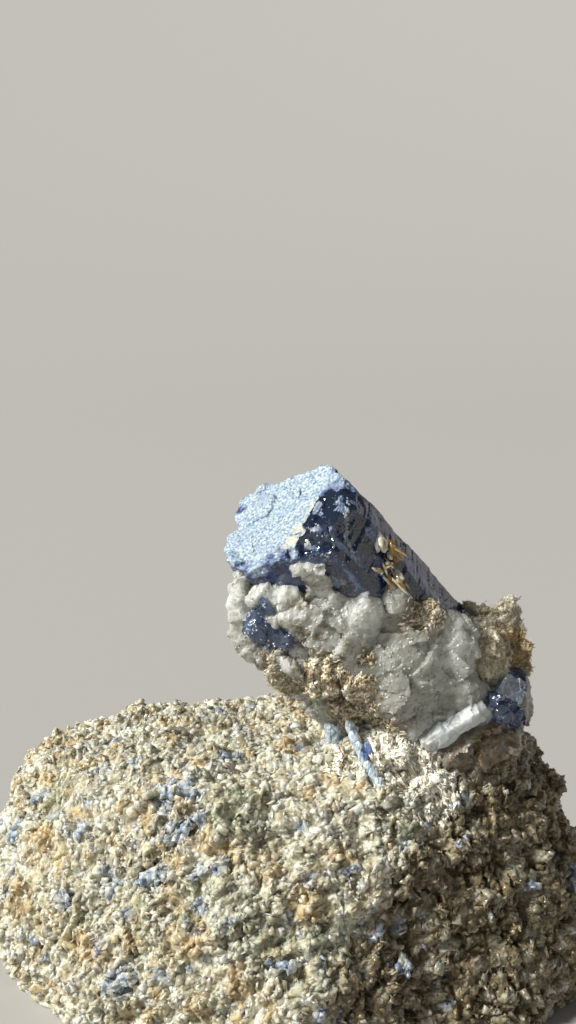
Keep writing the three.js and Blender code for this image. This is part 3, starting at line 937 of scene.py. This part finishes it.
class SPECIMEN_OT_sapphire(bpy.types.Operator):
    """Builds the main sapphire with its frosted end"""

    bl_idname = "specimen.sapphire"
    bl_label = "Main sapphire"

    def execute(self, context):
        settings = context.scene.sapphire
        shape = copy_of("main_sapphire")
        add_lump(shape, from_prism((-3.7, 6.2, 29.9)), (0.9, 0.8, 0.7), detail=2)
        mesh = remeshed(shape, VOXELS["sapphire"], 3)
        points = read_places(mesh)
        normals = read_normals(mesh)
        own = in_prism(points)
        facing = np.clip((normals @ PRISM[2] - 0.7) / 0.15, 0, 1) * (own[:, 2] > 26)
        limit = FROST_LIMIT[0] + FROST_LIMIT[1] * own[:, 1] + 0.6 * bumps(points, 1.2, 20, 3)
        rim = np.clip((own[:, 2] - 28.6) / 0.8, 0, 1) + 0.4 * bumps(points, 1.0, 18, 3)
        frost = np.maximum(facing, rim) * np.clip((limit - own[:, 0]) / 0.7, 0, 1)
        corner = near(own, [(5.2, 3.6, 29.6, 2.8, 1.0), (3.8, 5.4, 28.6, 3.0, 1.0)])
        frost = np.maximum(frost, corner * (0.9 + bumps(points, 1.2, 19, 3)))
        streaks = bumps(own * (1.0, 1.0, 0.4), 1.3, 11, 3)
        cloud = np.clip(1.8 * streaks, 0, 0.62) * np.clip((own[:, 2] - 17) / 9, 0, 1)
        frost = np.maximum(frost, cloud * (own[:, 0] > limit + 0.4))
        frost = frost - near(own, BLUE_SPOTS) * (0.9 + 0.8 * bumps(points, 0.7, 24, 2))
        end = np.clip((own[:, 2] - 27.5) / 2.2, 0, 1)
        middle, edge, _ = grains(points, 0.55, 12)
        etched = np.where(own[:, 0] < limit, 0.14, 0.035)
        pits = etched * (0.45 - middle) + 0.16 * bumps(points, 2.4, 13)
        worn = 0.3 * bumps(points, 1.3, 14, 3) * end
        lines = 0.05 * bumps(np.stack((own[:, 0] / 9, own[:, 1] / 9, own[:, 2]), 1), 0.6, 15, 3)
        sides = lines + 0.12 * bumps(points, 3.0, 16, 3)
        move = facing * pits + (1 - facing) * (sides + worn)
        inner = np.clip((inside_rim(own) - 0.3) / 0.7, 0, 1) * (own[:, 2] > 27.4) * (own[:, 0] < limit)
        flat = 0.85 * inner * np.clip(PRISM_LENGTH - 0.1 - own[:, 2], -0.6, 2.0)
        blunt = np.zeros_like(points)
        for corner, reach, start in WORN_EDGES:
            way = unit(np.array(SECTION[corner]))
            over = np.maximum(own[:, :2] @ way - reach, 0) * np.clip((own[:, 2] - start) / 4, 0, 1)
            blunt += over[:, None] * (way @ PRISM[:2])
        write_places(mesh, points + normals * move[:, None] + flat[:, None] * PRISM[2] - blunt)
        write_mask(mesh, "frost", frost)
        write_mask(mesh, "cream", ragged(near(own, CREAM_SPOTS), points, 0.8, 17, 0.9))
        materials = [
            clear_blue("sapphire_glass", (0.08, 0.15, 0.33), settings.blue, settings.depth, 0.03, 0.2),
            frosted_blue(),
        ]
        shiny = (own[:, 2] > 26) & (own[:, 0] < limit)
        paint_faces(mesh, (frost > 0.35) | ((facing > 0.5) & shiny))
        add_piece("sapphire_prism", mesh, materials, ["main_sapphire"])
        self.add_veils(mesh)
        self.add_plates()
        return {"FINISHED"}

    def add_veils(self, mesh):
        """Specks of mica and quartz in the sapphire's dark sides, and the white crack."""
        rng = np.random.default_rng(65)
        plate = flake_shape(4)

        def cloudiness(points, normals):
            own = in_prism(points)
            chip = own[:, 0] > FROST_LIMIT[0] + FROST_LIMIT[1] * own[:, 1] + 0.5
            sides = ((normals @ PRISM[2] < 0.6) * (own[:, 2] < 29.4) + chip) * (own[:, 2] > 6)
            low = np.clip((27 - own[:, 2]) / 8, 0.45, 1) + 2.0 * (normals @ UNDERSIDE > 0.75)
            return sides * low * np.clip(bumps(points, 2.0, 66, 3) + 0.05, 0, 1) ** 1.5

        centres, normals = scattered(mesh, 8500, rng, cloudiness)
        lengths = rng.uniform(0.07, 0.26, len(centres))
        tones = rng.random(len(centres))
        trail = np.array(CRACK, float)
        steps = np.linspace(0, len(trail) - 1, 150)
        whole = np.minimum(steps.astype(int), len(trail) - 2)
        line = trail[whole] + (steps - whole)[:, None] * (trail[whole + 1] - trail[whole])
        line, out = settled(line + rng.normal(scale=0.1, size=line.shape), mesh)
        centres = np.concatenate((centres - normals * 0.03, line + out * 0.03))
        normals = np.concatenate((normals, out))
        lengths = np.concatenate((lengths, rng.uniform(0.14, 0.32, len(line))))
        tones = np.concatenate((tones, np.zeros(len(line))))
        sizes = plate_sizes(lengths * 1.3, lengths, lengths * 0.35)
        face = unit(normals + 0.15 * rng.normal(size=normals.shape))
        specks = joined(plate, centres, turned(face, rng), sizes, rng, 0.25)
        write_mask(specks, "tone", each(tones, plate))
        finish = mineral(
            "veil_specks", (0.3, 0.36, 0.42), (0.13, 0.17, 0.23), (0.05, 0.07, 0.13),
            bump=0.2, Roughness=0.5,
        )
        add_piece("sapphire_veils", specks, [finish])

    def add_plates(self):
        """The plates of white and golden mica that stand on the dark side."""
        rng = np.random.default_rng(67)
        plate = flake_shape(6)
        rows = []
        for at, length, width, normal, run, tone in SIDE_PLATES:
            for leaf in range(LEAVES_PER_PLATE):
                shift = direction(*normal) * 0.05 * leaf + (0.08 + 0.06 * leaf) * rng.normal(size=3)
                long, wide = length * rng.uniform(0.3, 1.0), width * rng.uniform(0.4, 1.0)
                rows.append((*(np.array(at) + shift), long, wide, *normal, *run, tone))
        rows = np.array(rows)
        face = np.array([direction(*row[5:7]) for row in rows])
        run = np.array([direction(*row[7:9]) for row in rows])
        sizes = plate_sizes(rows[:, 3], rows[:, 4], 0.07)
        face = unit(face + 0.2 * rng.normal(size=face.shape))
        plates = joined(plate, rows[:, :3], turned(face, rng, run, 0.2), sizes, rng, 0.3)
        tones = np.clip(rows[:, 9] + 0.15 * rng.normal(size=len(rows)), 0, 1)
        write_mask(plates, "tone", each(tones, plate))
        finish = mineral(
            "side_mica", (0.75, 0.76, 0.72), (0.62, 0.44, 0.16), (0.3, 0.17, 0.05),
            crumbs=1500.0, bump=0.2, Roughness=0.18, Coat_Weight=0.6,
        )
        add_piece("side_plates", plates, [finish], ["side_mica_book"])


def paint_faces(mesh, chosen):
    """Gives the second material to the faces most of whose corners are chosen."""
    corners = np.empty(len(mesh.loops), int)
    mesh.loops.foreach_get("vertex_index", corners)
    starts = np.empty(len(mesh.polygons), int)
    mesh.polygons.foreach_get("loop_start", starts)
    share = np.add.reduceat(chosen[corners].astype(float), starts)
    counts = np.diff(np.append(starts, len(corners)))
    mesh.polygons.foreach_set("material_index", (share / counts > 0.5).astype(np.int32))
    mesh.update()


def milky_quartz(name, grey, white, **values):
    """Translucent quartz: milky where its mask says so, stained brown, sugary to the touch."""
    material, tree, shader = new_material(
        name, IOR=1.54, Subsurface_Radius=(0.0024, 0.0024, 0.0021), Subsurface_Scale=1.0, **values
    )
    place = object_place(tree)
    veins = add_node(tree, "ShaderNodeTexNoise", {"Vector": place, "Scale": 420.0, "Detail": 5.0})
    crumb = group_node(tree, "crumb", {"Place": place, "Crumbs per metre": 2600.0})
    haze = ranged(tree, veins.outputs["Fac"], 0.4, 0.75, 0.0, 0.5)
    cloudy = mixed(tree, haze, colour(*grey), colour(*white))
    milky = mixed(tree, mask_of(tree, "milk"), cloudy, colour(*white))
    stained = mixed(tree, mask_of(tree, "rust"), milky, colour(0.25, 0.185, 0.11))
    # Painted shade: the colour is darkened in the pits between crumbs
    pit_shaded = mixed(tree, crumb.outputs["Pit shade"], stained, colour(0.84, 0.83, 0.82), "MULTIPLY")
    tree.links.new(pit_shaded, shader.inputs["Base Color"])
    add_relief(tree, shader, crumb.outputs["Height"], 0.5, 0.07)
    return material


# Lobes of quartz over the sheath's solid: place and radii
SHEATH_LOBES = [
    ((0.8, -10.6, 40.6), (4.4, 1.7, 2.4)),
    ((-2.4, -10.2, 38.6), (2.7, 1.6, 3.4)),
    ((6.0, -11.0, 41.0), (4.0, 1.6, 2.6)),
    ((19.2, -8.0, 27.4), (2.8, 1.7, 2.2)),
    ((16.4, -9.0, 26.4), (2.8, 1.5, 2.0)),
    ((2.8, -13.0, 44.8), (1.9, 1.1, 1.4)),
    ((4.9, -13.2, 44.0), (0.8, 0.7, 0.8)),
    ((3.4, -12.0, 42.6), (2.2, 1.2, 1.4)),
    ((-1.0, -12.0, 41.9), (2.6, 0.9, 0.8)),
    ((1.4, -12.0, 40.4), (2.0, 1.1, 1.7)),
    ((7.0, -12.0, 41.0), (2.3, 1.4, 2.6)),
    ((9.8, -11.3, 41.2), (1.6, 1.2, 1.6)),
    ((10.2, -10.6, 35.6), (3.9, 2.0, 5.6)),
    ((15.2, -9.2, 36.0), (3.0, 2.0, 4.2)),
    ((-4.6, -9.8, 41.4), (0.6, 1.5, 3.0)),
    ((0.4, -11.4, 36.5), (1.4, 1.1, 1.3)),
    ((3.8, -10.8, 36.4), (2.9, 1.5, 3.2)),
    ((11.6, -9.4, 30.4), (2.6, 1.5, 2.2)),
    ((9.2, -10.8, 39.0), (2.4, 1.4, 2.2)),
    ((12.6, -10.0, 38.6), (2.4, 1.4, 2.4)),
]
MILKY_SPOTS = [
    (-4.4, -9.8, 41.6, 2.2, 1.0),
    (-1.2, -13.0, 43.0, 2.4, 1.0),
    (1.4, -13.0, 41.2, 1.8, 0.9),
    (2.2, -14.0, 45.2, 1.6, 0.9),
    (0.4, -12.6, 36.5, 1.7, 1.0),
    (3.6, -12.8, 37.4, 1.6, 0.8),
    (5.2, -12.6, 35.8, 1.2, 0.9),
    (7.2, -13.4, 41.4, 2.6, 0.75),
    (4.0, -13.0, 42.6, 1.8, 0.7),
    (16.0, -10.6, 36.8, 3.0, 0.9),
    (14.6, -11.0, 37.0, 0.9, 0.6),
    (15.2, -11.0, 35.2, 0.9, 0.6),
]
BROWN_SPOTS = [
    (3.4, -12.2, 34.6, 2.4, 0.75),
    (7.2, -12.9, 36.2, 1.0, 0.7),
    (6.9, -12.8, 34.0, 1.2, 0.8),
    (6.8, -12.0, 31.8, 1.8, 0.9),
    (12.6, -11.0, 40.4, 2.2, 0.7),
    (10.8, -11.8, 41.0, 1.2, 0.6),
    (9.4, -9.8, 29.4, 2.2, 0.7),
    (19.2, -9.0, 27.0, 3.0, 0.9),
    (16.0, -10.2, 25.8, 2.8, 0.9),
    (3.8, -14.0, 44.4, 1.2, 0.5),
    (5.2, -13.6, 43.8, 0.9, 0.7),
    (2.0, -12.6, 39.0, 1.4, 0.35),
    (6.0, -9.8, 30.6, 2.4, 0.9),
    (-1.4, -10.4, 36.4, 1.8, 0.7),
    (1.0, -12.8, 42.0, 1.0, 0.4),
]
# Where fibres of golden mica cover the quartz
FIBRE_SPOTS = [
    (3.4, -12.2, 34.6, 2.2, 0.9),
    (6.8, -12.6, 33.6, 1.4, 1.0),
    (7.2, -12.9, 36.4, 0.8, 0.8),
    (6.8, -11.6, 31.4, 1.4, 0.9),
    (12.6, -11.0, 40.6, 1.9, 1.0),
    (10.6, -11.8, 41.4, 1.2, 0.7),
    (9.4, -9.8, 29.0, 2.0, 0.8),
    (6.0, -9.8, 30.4, 2.0, 0.8),
]


class SPECIMEN_OT_sheath(bpy.types.Operator):
    """Builds the sheath of quartz and its sugary crust"""

    bl_idname = "specimen.sheath"
    bl_label = "Quartz sheath"

    def execute(self, context):
        settings = context.scene.quartz
        shape = copy_of("quartz_sheath")
        for at, radii in SHEATH_LOBES:
            add_lump(shape, at, radii)
        mesh = remeshed(shape, VOXELS["sheath"], 12)
        points = read_places(mesh)
        normals = read_normals(mesh)
        brown = ragged(near(points, BROWN_SPOTS), points, 1.0, 27, 0.9)
        rough = np.clip((6.0 - points[:, 0]) / 3.0, 0, 1) + brown
        crumbly = (0.25 * bumps(points, 0.9, 26, 3) + 0.55 * facets(points, 1.1, 29)) * rough
        move = (
            0.25 + 0.35 * bumps(points, 3.2, 22) + 0.7 * facets(points, 2.6, 21)
            + 0.3 * facets(points, 0.8, 28) + 0.05 * bumps(points, 0.5, 23, 3) + crumbly
        )
        points = points + normals * move[:, None]
        write_places(mesh, points)
        quartz_masks(mesh)
        quartz = milky_quartz(
            "sheath_quartz", settings.grey, settings.white, Roughness=0.36, Subsurface_Weight=0.9,
            Transmission_Weight=0.25, Coat_Weight=0.08,
        )
        sugary = milky_quartz(
            "quartz_sugar", (0.33, 0.34, 0.3), (0.6, 0.62, 0.58), Roughness=0.4, Coat_Weight=0.05,
        )
        add_piece("sheath_quartz", mesh, [quartz], ["quartz_sheath"])
        rng = np.random.default_rng(61)
        block = block_shape()
        centres, spots = scattered(mesh, 8000, rng)
        lengths = rng.uniform(0.08, 0.32, len(centres))
        sizes = plate_sizes(lengths, lengths * 0.8, lengths * 0.7)
        lean = unit(spots + 0.4 * rng.normal(size=spots.shape))
        centres = centres - spots * 0.05
        sugar = joined(block, centres, turned(lean, rng), sizes, rng, 0.25)
        quartz_masks(sugar)
        add_piece("sheath_sugar", sugar, [sugary])
        self.add_fibres(mesh)
        return {"FINISHED"}

    def add_fibres(self, mesh):
        """Golden and white fibres of mica where the quartz is stained."""
        rng = np.random.default_rng(63)
        plate = flake_shape(4)
        centres, normals = scattered(
            mesh, 2000, rng, lambda points, _: near(points, FIBRE_SPOTS) ** 2
        )
        lengths = rng.uniform(0.3, 0.9, len(centres))
        sizes = plate_sizes(lengths, rng.uniform(0.2, 0.5, len(centres)), 0.06)
        face = unit(normals + 0.16 * rng.normal(size=normals.shape))
        swirl = np.stack([bumps(centres, 3.0, seed) for seed in (32, 33, 34)], axis=1)
        axes = turned(face, rng, unit(swirl + 0.2), 0.3)
        fibres = joined(plate, centres, axes, sizes, rng, 0.25)
        write_mask(fibres, "tone", each(rng.random(len(centres)), plate))
        finish = mineral(
            "gold_fibres", (0.8, 0.77, 0.64), (0.56, 0.46, 0.28), (0.26, 0.18, 0.09),
            bump=0.2, Roughness=0.28, Coat_Weight=0.3,
        )
        add_piece("sheath_fibres", fibres, [finish])


def quartz_masks(mesh):
    """Stores where quartz is milky and where it is stained."""
    points = read_places(mesh)
    write_mask(mesh, "milk", ragged(near(points, MILKY_SPOTS), points, 1.2, 25))
    write_mask(mesh, "rust", ragged(near(points, BROWN_SPOTS), points, 1.0, 27, 0.9))


class SPECIMEN_OT_books(bpy.types.Operator):
    """Builds the three books of mica"""

    bl_idname = "specimen.books"
    bl_label = "Mica books"

    def execute(self, context):
        core = mineral(
            "mica_book", (0.84, 0.77, 0.56), (0.62, 0.47, 0.26), (0.28, 0.18, 0.08),
            (0.48, 0.31, 0.12), Roughness=0.45, **SOFT,
        )
        leaf = mineral(
            "mica_leaf", (0.9, 0.82, 0.58), (0.74, 0.56, 0.29), (0.36, 0.22, 0.08),
            (0.56, 0.36, 0.12), bump=0.2, depth=0.03, Roughness=0.25, Coat_Weight=0.4, **SOFT,
        )
        books = [
            ("shoulder_book", "shoulder_mica_book", (17.6, -8.5, 37.4), 4600, (0.1, 0.35), 71),
            ("lower_book", "lower_mica_book", (5.0, -11.0, 38.6), 2000, (0.25, 0.6), 72),
        ]
        for name, node, middle, count, widths, seed in books:
            shape = copy_of(node)
            if name == "shoulder_book":
                add_lump(shape, HORN, (1.5, 0.7, 0.6), (0, -28, 0))
            mesh = remeshed(shape, VOXELS["book"], 6)
            points = read_places(mesh)
            normals = read_normals(mesh)
            out = unit(points - middle)
            leafy = np.abs(bumps(points + 0.6 * out, 0.8, seed, 3))
            move = 0.3 * bumps(points, 1.6, seed + 5, 2) + 0.5 * facets(points, 1.4, seed) - 0.3 * leafy
            points = points + normals * move[:, None]
            write_places(mesh, points)
            book_masks(mesh, points, 0.4 + 0.6 * bumps(points, 0.7, seed))
            add_piece(name, mesh, [core], [node])
            rng = np.random.default_rng(seed)
            centres, spots = scattered(mesh, count, rng)
            face = unit(spots + 0.16 * rng.normal(size=spots.shape))
            length = rng.uniform(0.35, 1.1, count)
            sizes = plate_sizes(length, rng.uniform(*widths, count), LEAF_THICKNESS)
            shape = flake_shape(4)
            axes = turned(face, rng, unit(centres - middle), 0.25)
            leaves = joined(shape, centres - spots * 0.03, axes, sizes, rng, 0.25)
            book_masks(leaves, centres, rng.random(count), len(shape[0]))
            add_piece(name + "_leaves", leaves, [leaf])
        return {"FINISHED"}


HORN = (21.6, -3.9, 39.9)  # the pointed corner of the shoulder
# Creamy parts of the mica books: place, radius, strength
PALE_SPOTS = [
    (21.6, -3.9, 39.8, 1.9, 1.0),
    (17.0, -7.2, 39.2, 2.2, 0.8),
    (1.0, -12.0, 37.0, 1.4, 0.7),
    (4.6, -12.4, 36.4, 1.2, 0.7),
]
# Golden brown parts of the mica books: place, radius, strength
GOLDEN_SPOTS = [
    (21.4, -5.4, 36.6, 1.9, 0.9),
    (22.8, -4.4, 35.0, 2.2, 0.9),
    (18.6, -7.4, 35.2, 1.8, 0.5),
    (3.4, -12.0, 35.0, 2.4, 0.8),
    (6.0, -11.6, 32.4, 2.0, 0.9),
    (-1.6, -11.0, 36.6, 1.4, 0.6),
]


def book_masks(mesh, points, tones, copies=1):
    """Stores the tone and the golden stain of a book of mica, by places that stand for some vertices."""
    golden = ragged(near(points, GOLDEN_SPOTS), points, 1.0, 75, 0.8)
    pale = near(points, PALE_SPOTS)
    write_mask(mesh, "tone", np.repeat(0.6 * tones + 0.45 * golden - 0.7 * pale, copies))
    write_mask(mesh, "rust", np.repeat(0.6 * golden * (1 - pale), copies))


# Crystals in the sheath's left side: place, radius, length, azimuth, elevation, sides, taper, spin
LEFT_CRYSTALS = [
    ((-2.1, -11.9, 41.1), 1.2, 2.4, 214, 40, 4, 0.8, 30),
    ((-2.6, -11.4, 38.9), 1.8, 2.8, 208, 30, 5, 0.7, 14),
    ((-0.7, -11.8, 38.3), 1.3, 2.4, 330, -20, 4, 0.7, 25),
    ((-0.4, -11.6, 39.9), 0.7, 1.6, 262, 30, 6, 0.6, 5),
]
RIGHT_CRYSTALS = [
    ((19.9, -9.4, 31.4), 1.1, 1.8, 240, 30, 4, 0.8, 12),
    ((20.3, -9.2, 30.4), 1.1, 2.0, 285, -4, 6, 0.85, 40),
    ((21.4, -8.4, 29.6), 1.0, 1.8, 300, 10, 5, 0.8, 5),
]
CLEAR_CRYSTAL = ((21.3, -8.3, 32.2), 1.8, 2.6, 285, 22, 4, 0.85, 35)
# The milky bar's crystals, in the same way
BAR_CRYSTALS = [
    ((15.8, -10.7, 29.3), 1.15, 6.0, 353, 34, 5, 0.95, 20),
    ((17.6, -10.5, 30.6), 1.0, 2.6, 8, 30, 6, 0.9, 0),
    ((14.0, -10.4, 28.3), 1.1, 2.6, 345, 38, 6, 1.1, 30),
]
# The blade's middle line
BLADE_LINE = [
    (6.0, -10.0, 29.0), (6.4, -10.4, 28.0), (6.8, -10.8, 27.1), (7.2, -11.2, 26.3),
    (7.7, -11.6, 25.5), (8.2, -12.0, 24.8), (8.7, -12.4, 24.1), (9.1, -12.6, 23.5),
]


class SPECIMEN_OT_crystals(bpy.types.Operator):
    """Builds the small crystals: two groups of sapphire, the quartz bar, the blue blade and its nub"""

    bl_idname = "specimen.crystals"
    bl_label = "Small crystals"

    def execute(self, context):
        quartz = context.scene.quartz
        glass = clear_blue("small_sapphire_glass", (0.3, 0.42, 0.72), (0.22, 0.34, 0.7), 520.0, 0.02, 0.2)
        left = bmesh.new()
        for crystal in LEFT_CRYSTALS:
            add_crystal(left, *crystal)
        right = copy_of("right_sapphires")
        for crystal in RIGHT_CRYSTALS:
            add_crystal(right, *crystal)
        for name, node, shape, seed in (
            ("right_crystals", "right_sapphires", right, 81),
            ("left_crystals", "left_sapphires", left, 82),
        ):
            mesh = remeshed(shape, VOXELS["small crystals"], 1)
            points = read_places(mesh)
            move = 0.04 + 0.14 * bumps(points, 0.9, seed, 3) + 0.6 * facets(points, 1.1, seed)
            write_places(mesh, points + read_normals(mesh) * move[:, None])
            add_piece(name, mesh, [glass], [node])
            self.add_dust(name, mesh, seed)
        box = bmesh.new()
        add_crystal(box, *CLEAR_CRYSTAL)
        mesh = remeshed(box, VOXELS["clear crystal"], 1)
        points = read_places(mesh)
        move = 0.12 * bumps(points, 0.9, 80, 3) + 0.4 * facets(points, 1.2, 80)
        write_places(mesh, points + read_normals(mesh) * move[:, None])
        clear = clear_blue("pale_sapphire_glass", (0.75, 0.85, 0.95), (0.6, 0.72, 0.85), 160.0, 0.02, 0.3)
        add_piece("clear_crystal", mesh, [clear])
        shape = copy_of("quartz_bar")
        for crystal in BAR_CRYSTALS:
            add_crystal(shape, *crystal)
        bar = remeshed(shape, VOXELS["bar"], 3)
        points = read_places(bar)
        middle, _, _ = grains(points, 0.9, 83)
        move = 0.1 * (0.45 - middle) + 0.15 * bumps(points, 1.6, 84) + 0.35 * facets(points, 1.4, 88)
        write_places(bar, points + read_normals(bar) * move[:, None])
        write_mask(bar, "milk", np.full(len(points), 0.8))
        write_mask(bar, "rust", np.clip(bumps(points, 1.4, 85, 3) - 0.2, 0, 0.5))
        milk = milky_quartz(
            "bar_quartz", (0.5, 0.55, 0.56), (0.68, 0.74, 0.75), Roughness=0.4, Subsurface_Weight=0.9,
            Transmission_Weight=0.3, Coat_Weight=0.1,
        )
        add_piece("milky_bar", bar, [milk], ["quartz_bar"])
        silky = mineral(
            "silky_blue", (0.55, 0.64, 0.72), (0.3, 0.4, 0.52), (0.1, 0.16, 0.34),
            bump=0.3, Roughness=0.3,
        )
        blade = bmesh.new()
        for at in BLADE_LINE:
            add_lump(blade, at, (0.42, 0.28, 0.8), (0, -25, 0), 2)
        add_lump(blade, (7.9, -10.7, 27.0), (0.7, 0.35, 0.9), (0, -20, 0), 2)
        for name, node, shape, seed in (
            ("kyanite_blade", "blue_blade", blade, 86),
            ("kyanite_nub", "blue_nub", copy_of("blue_nub"), 87),
        ):
            mesh = remeshed(shape, VOXELS["blade"], 3)
            points = read_places(mesh)
            stretched = points * (1.0, 1.0, 0.12)
            points = points + read_normals(mesh) * (0.12 + 0.12 * bumps(stretched, 0.3, seed, 3))[:, None]
            write_places(mesh, points)
            deep = near(points, [(7.9, -10.8, 27.0, 1.0, 0.9), (4.4, -9.0, 28.6, 0.6, 0.7)])
            write_mask(mesh, "tone", np.clip(0.35 + 0.5 * bumps(points, 0.8, seed) + deep, 0, 1))
            add_piece(name, mesh, [silky], [node])
        return {"FINISHED"}

    def add_dust(self, name, mesh, seed):
        """White and blue specks in the faces of small crystals."""
        rng = np.random.default_rng(seed)
        plate = flake_shape(4)
        centres, normals = scattered(
            mesh, 420, rng, lambda points, _: np.clip(bumps(points, 0.9, seed), 0.02, 1) ** 2
        )
        lengths = rng.uniform(0.07, 0.22, len(centres))
        sizes = plate_sizes(lengths * 1.3, lengths, lengths * 0.4)
        face = unit(normals + 0.15 * rng.normal(size=normals.shape))
        specks = joined(plate, centres - normals * 0.02, turned(face, rng), sizes, rng, 0.25)
        write_mask(specks, "tone", each(rng.random(len(centres)), plate))
        finish = mineral(
            name + "_dust", (0.7, 0.76, 0.8), (0.4, 0.47, 0.6), (0.1, 0.15, 0.32),
            bump=0.2, Roughness=0.25,
        )
        add_piece(name + "_dust", specks, [finish])


class SPECIMEN_OT_blue_grains(bpy.types.Operator):
    """Builds the blue grains that are set in the schist"""

    bl_idname = "specimen.blue_grains"
    bl_label = "Blue grains"

    def execute(self, context):
        corroded = mineral(
            "corroded_blue", (0.44, 0.51, 0.58), (0.25, 0.32, 0.42), (0.09, 0.12, 0.2), TAN,
            bump=0.4, Roughness=0.35, **SOFT,
        )
        mesh = remeshed(copy_of(*GRAIN_NODES), VOXELS["blue grains"], 8)
        points = read_places(mesh)
        middle, _, tones = grains(points, 0.7, 91)
        worn = 0.5 * bumps(points, 1.3, 92, 3) + 1.3 * facets(points, 0.9, 94)
        move = 0.3 * (0.45 - middle) + worn - 0.1
        write_places(mesh, points + read_normals(mesh) * move[:, None])
        write_mask(mesh, "tone", tones)
        write_mask(mesh, "rust", np.clip(1.4 * bumps(points, 1.0, 93, 3), 0, 0.8))
        add_piece("blue_grains", mesh, [corroded], GRAIN_NODES)
        return {"FINISHED"}


LIGHT_DISTANCE = 40.0  # far off, so that the floor is evenly lit
FLOOR_REACH = 6.0
FLOOR_FLAT = 0.8  # radius within which the floor is flat, before it sweeps up to a backdrop
FLOOR_SWEEP = 0.055


class SPECIMEN_OT_stage(bpy.types.Operator):
    """Builds the pale floor, the studio lights and the camera"""

    bl_idname = "specimen.stage"
    bl_label = "Stage"

    def execute(self, context):
        settings = context.scene.stage
        shape = bmesh.new()
        bmesh.ops.create_grid(shape, x_segments=90, y_segments=90, size=FLOOR_REACH)
        for vertex in shape.verts:
            beyond = max(0.0, math.hypot(vertex.co.x, vertex.co.y) - FLOOR_FLAT)
            vertex.co.z = FLOOR_SWEEP * beyond * beyond
        for face in shape.faces:
            face.smooth = True
        mesh = bpy.data.meshes.new("floor")
        shape.to_mesh(mesh)
        shape.free()
        floor = bpy.data.objects.new("floor", mesh)
        context.scene.collection.objects.link(floor)
        paint, _, _ = new_material("pale_floor", Base_Color=colour(0.4, 0.392, 0.378), Roughness=0.9)
        mesh.materials.append(paint)
        world = bpy.data.worlds.new("studio")
        world.use_nodes = True
        background = world.node_tree.nodes["Background"]
        background.inputs["Color"].default_value = colour(0.92, 0.95, 1.0)
        background.inputs["Strength"].default_value = settings.fill
        context.scene.world = world
        strength = settings.key * LIGHT_DISTANCE**2
        add_light("key", direction(207, 38), 8.0, strength * 3.125, (1.0, 0.98, 0.92))
        add_light("fill", direction(290, 30), 30.0, strength * 0.0625, (0.93, 0.96, 1.0))
        camera = bpy.data.objects.new("camera", bpy.data.cameras.new("camera"))
        context.scene.collection.objects.link(camera)
        camera.data.lens = CAMERA_LENS
        camera.data.clip_start = 0.01
        eye = Vector((np.array(CAMERA_EYE) + SHIFT) * MM)
        aim = Vector((np.array(CAMERA_AIM) + SHIFT) * MM)
        camera.location = eye
        camera.rotation_euler = (aim - eye).to_track_quat("-Z", "Y").to_euler()
        bpy.context.scene.camera = camera
        context.scene.view_settings.view_transform = "Standard"
        return {"FINISHED"}


def add_light(name, towards, size, power, tint):
    """Adds a soft square light that points at the specimen from a direction."""
    lamp = bpy.data.lights.new(name, "AREA")
    lamp.size = size
    lamp.energy = power
    lamp.color = tint
    holder = bpy.data.objects.new(name, lamp)
    bpy.context.scene.collection.objects.link(holder)
    aim = Vector((0, 0, 30 * MM))
    holder.location = aim + Vector(towards) * LIGHT_DISTANCE
    holder.rotation_euler = (-Vector(towards)).to_track_quat("-Z", "Y").to_euler()


class SPECIMEN_PT_panel(bpy.types.Panel):
    """Lists the settings and the steps that build the specimen"""

    bl_idname = "SPECIMEN_PT_panel"
    bl_label = "Sapphire on mica schist"
    bl_space_type = "VIEW_3D"
    bl_region_type = "UI"
    bl_category = "Specimen"

    def draw(self, context):
        for name, group in GROUPS.items():
            for setting in group.__annotations__:
                self.layout.prop(getattr(context.scene, name), setting)
        for operator in OPERATORS:
            self.layout.operator(operator.bl_idname)


GROUPS = {
    "schist": SchistSettings,
    "sapphire": SapphireSettings,
    "quartz": QuartzSettings,
    "stage": StageSettings,
}
OPERATORS = [
    SPECIMEN_OT_schist,
    SPECIMEN_OT_flakes,
    SPECIMEN_OT_sapphire,
    SPECIMEN_OT_sheath,
    SPECIMEN_OT_books,
    SPECIMEN_OT_crystals,
    SPECIMEN_OT_blue_grains,
    SPECIMEN_OT_stage,
]


def register():
    """Adds the classes and the settings to Blender."""
    for item in (*GROUPS.values(), *OPERATORS, SPECIMEN_PT_panel):
        bpy.utils.register_class(item)
    for name, group in GROUPS.items():
        setattr(bpy.types.Scene, name, PointerProperty(type=group))


def unregister():
    """Takes the settings and the classes out of Blender."""
    for name in GROUPS:
        delattr(bpy.types.Scene, name)
    for item in reversed((*GROUPS.values(), *OPERATORS, SPECIMEN_PT_panel)):
        bpy.utils.unregister_class(item)


def main():
    """Builds the whole specimen."""
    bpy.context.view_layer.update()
    register()
    make_crumb_group()
    make_tint_group()
    for operator in OPERATORS:
        family, step = operator.bl_idname.split(".")
        getattr(getattr(bpy.ops, family), step)()


if __name__ == "__main__":
    main()
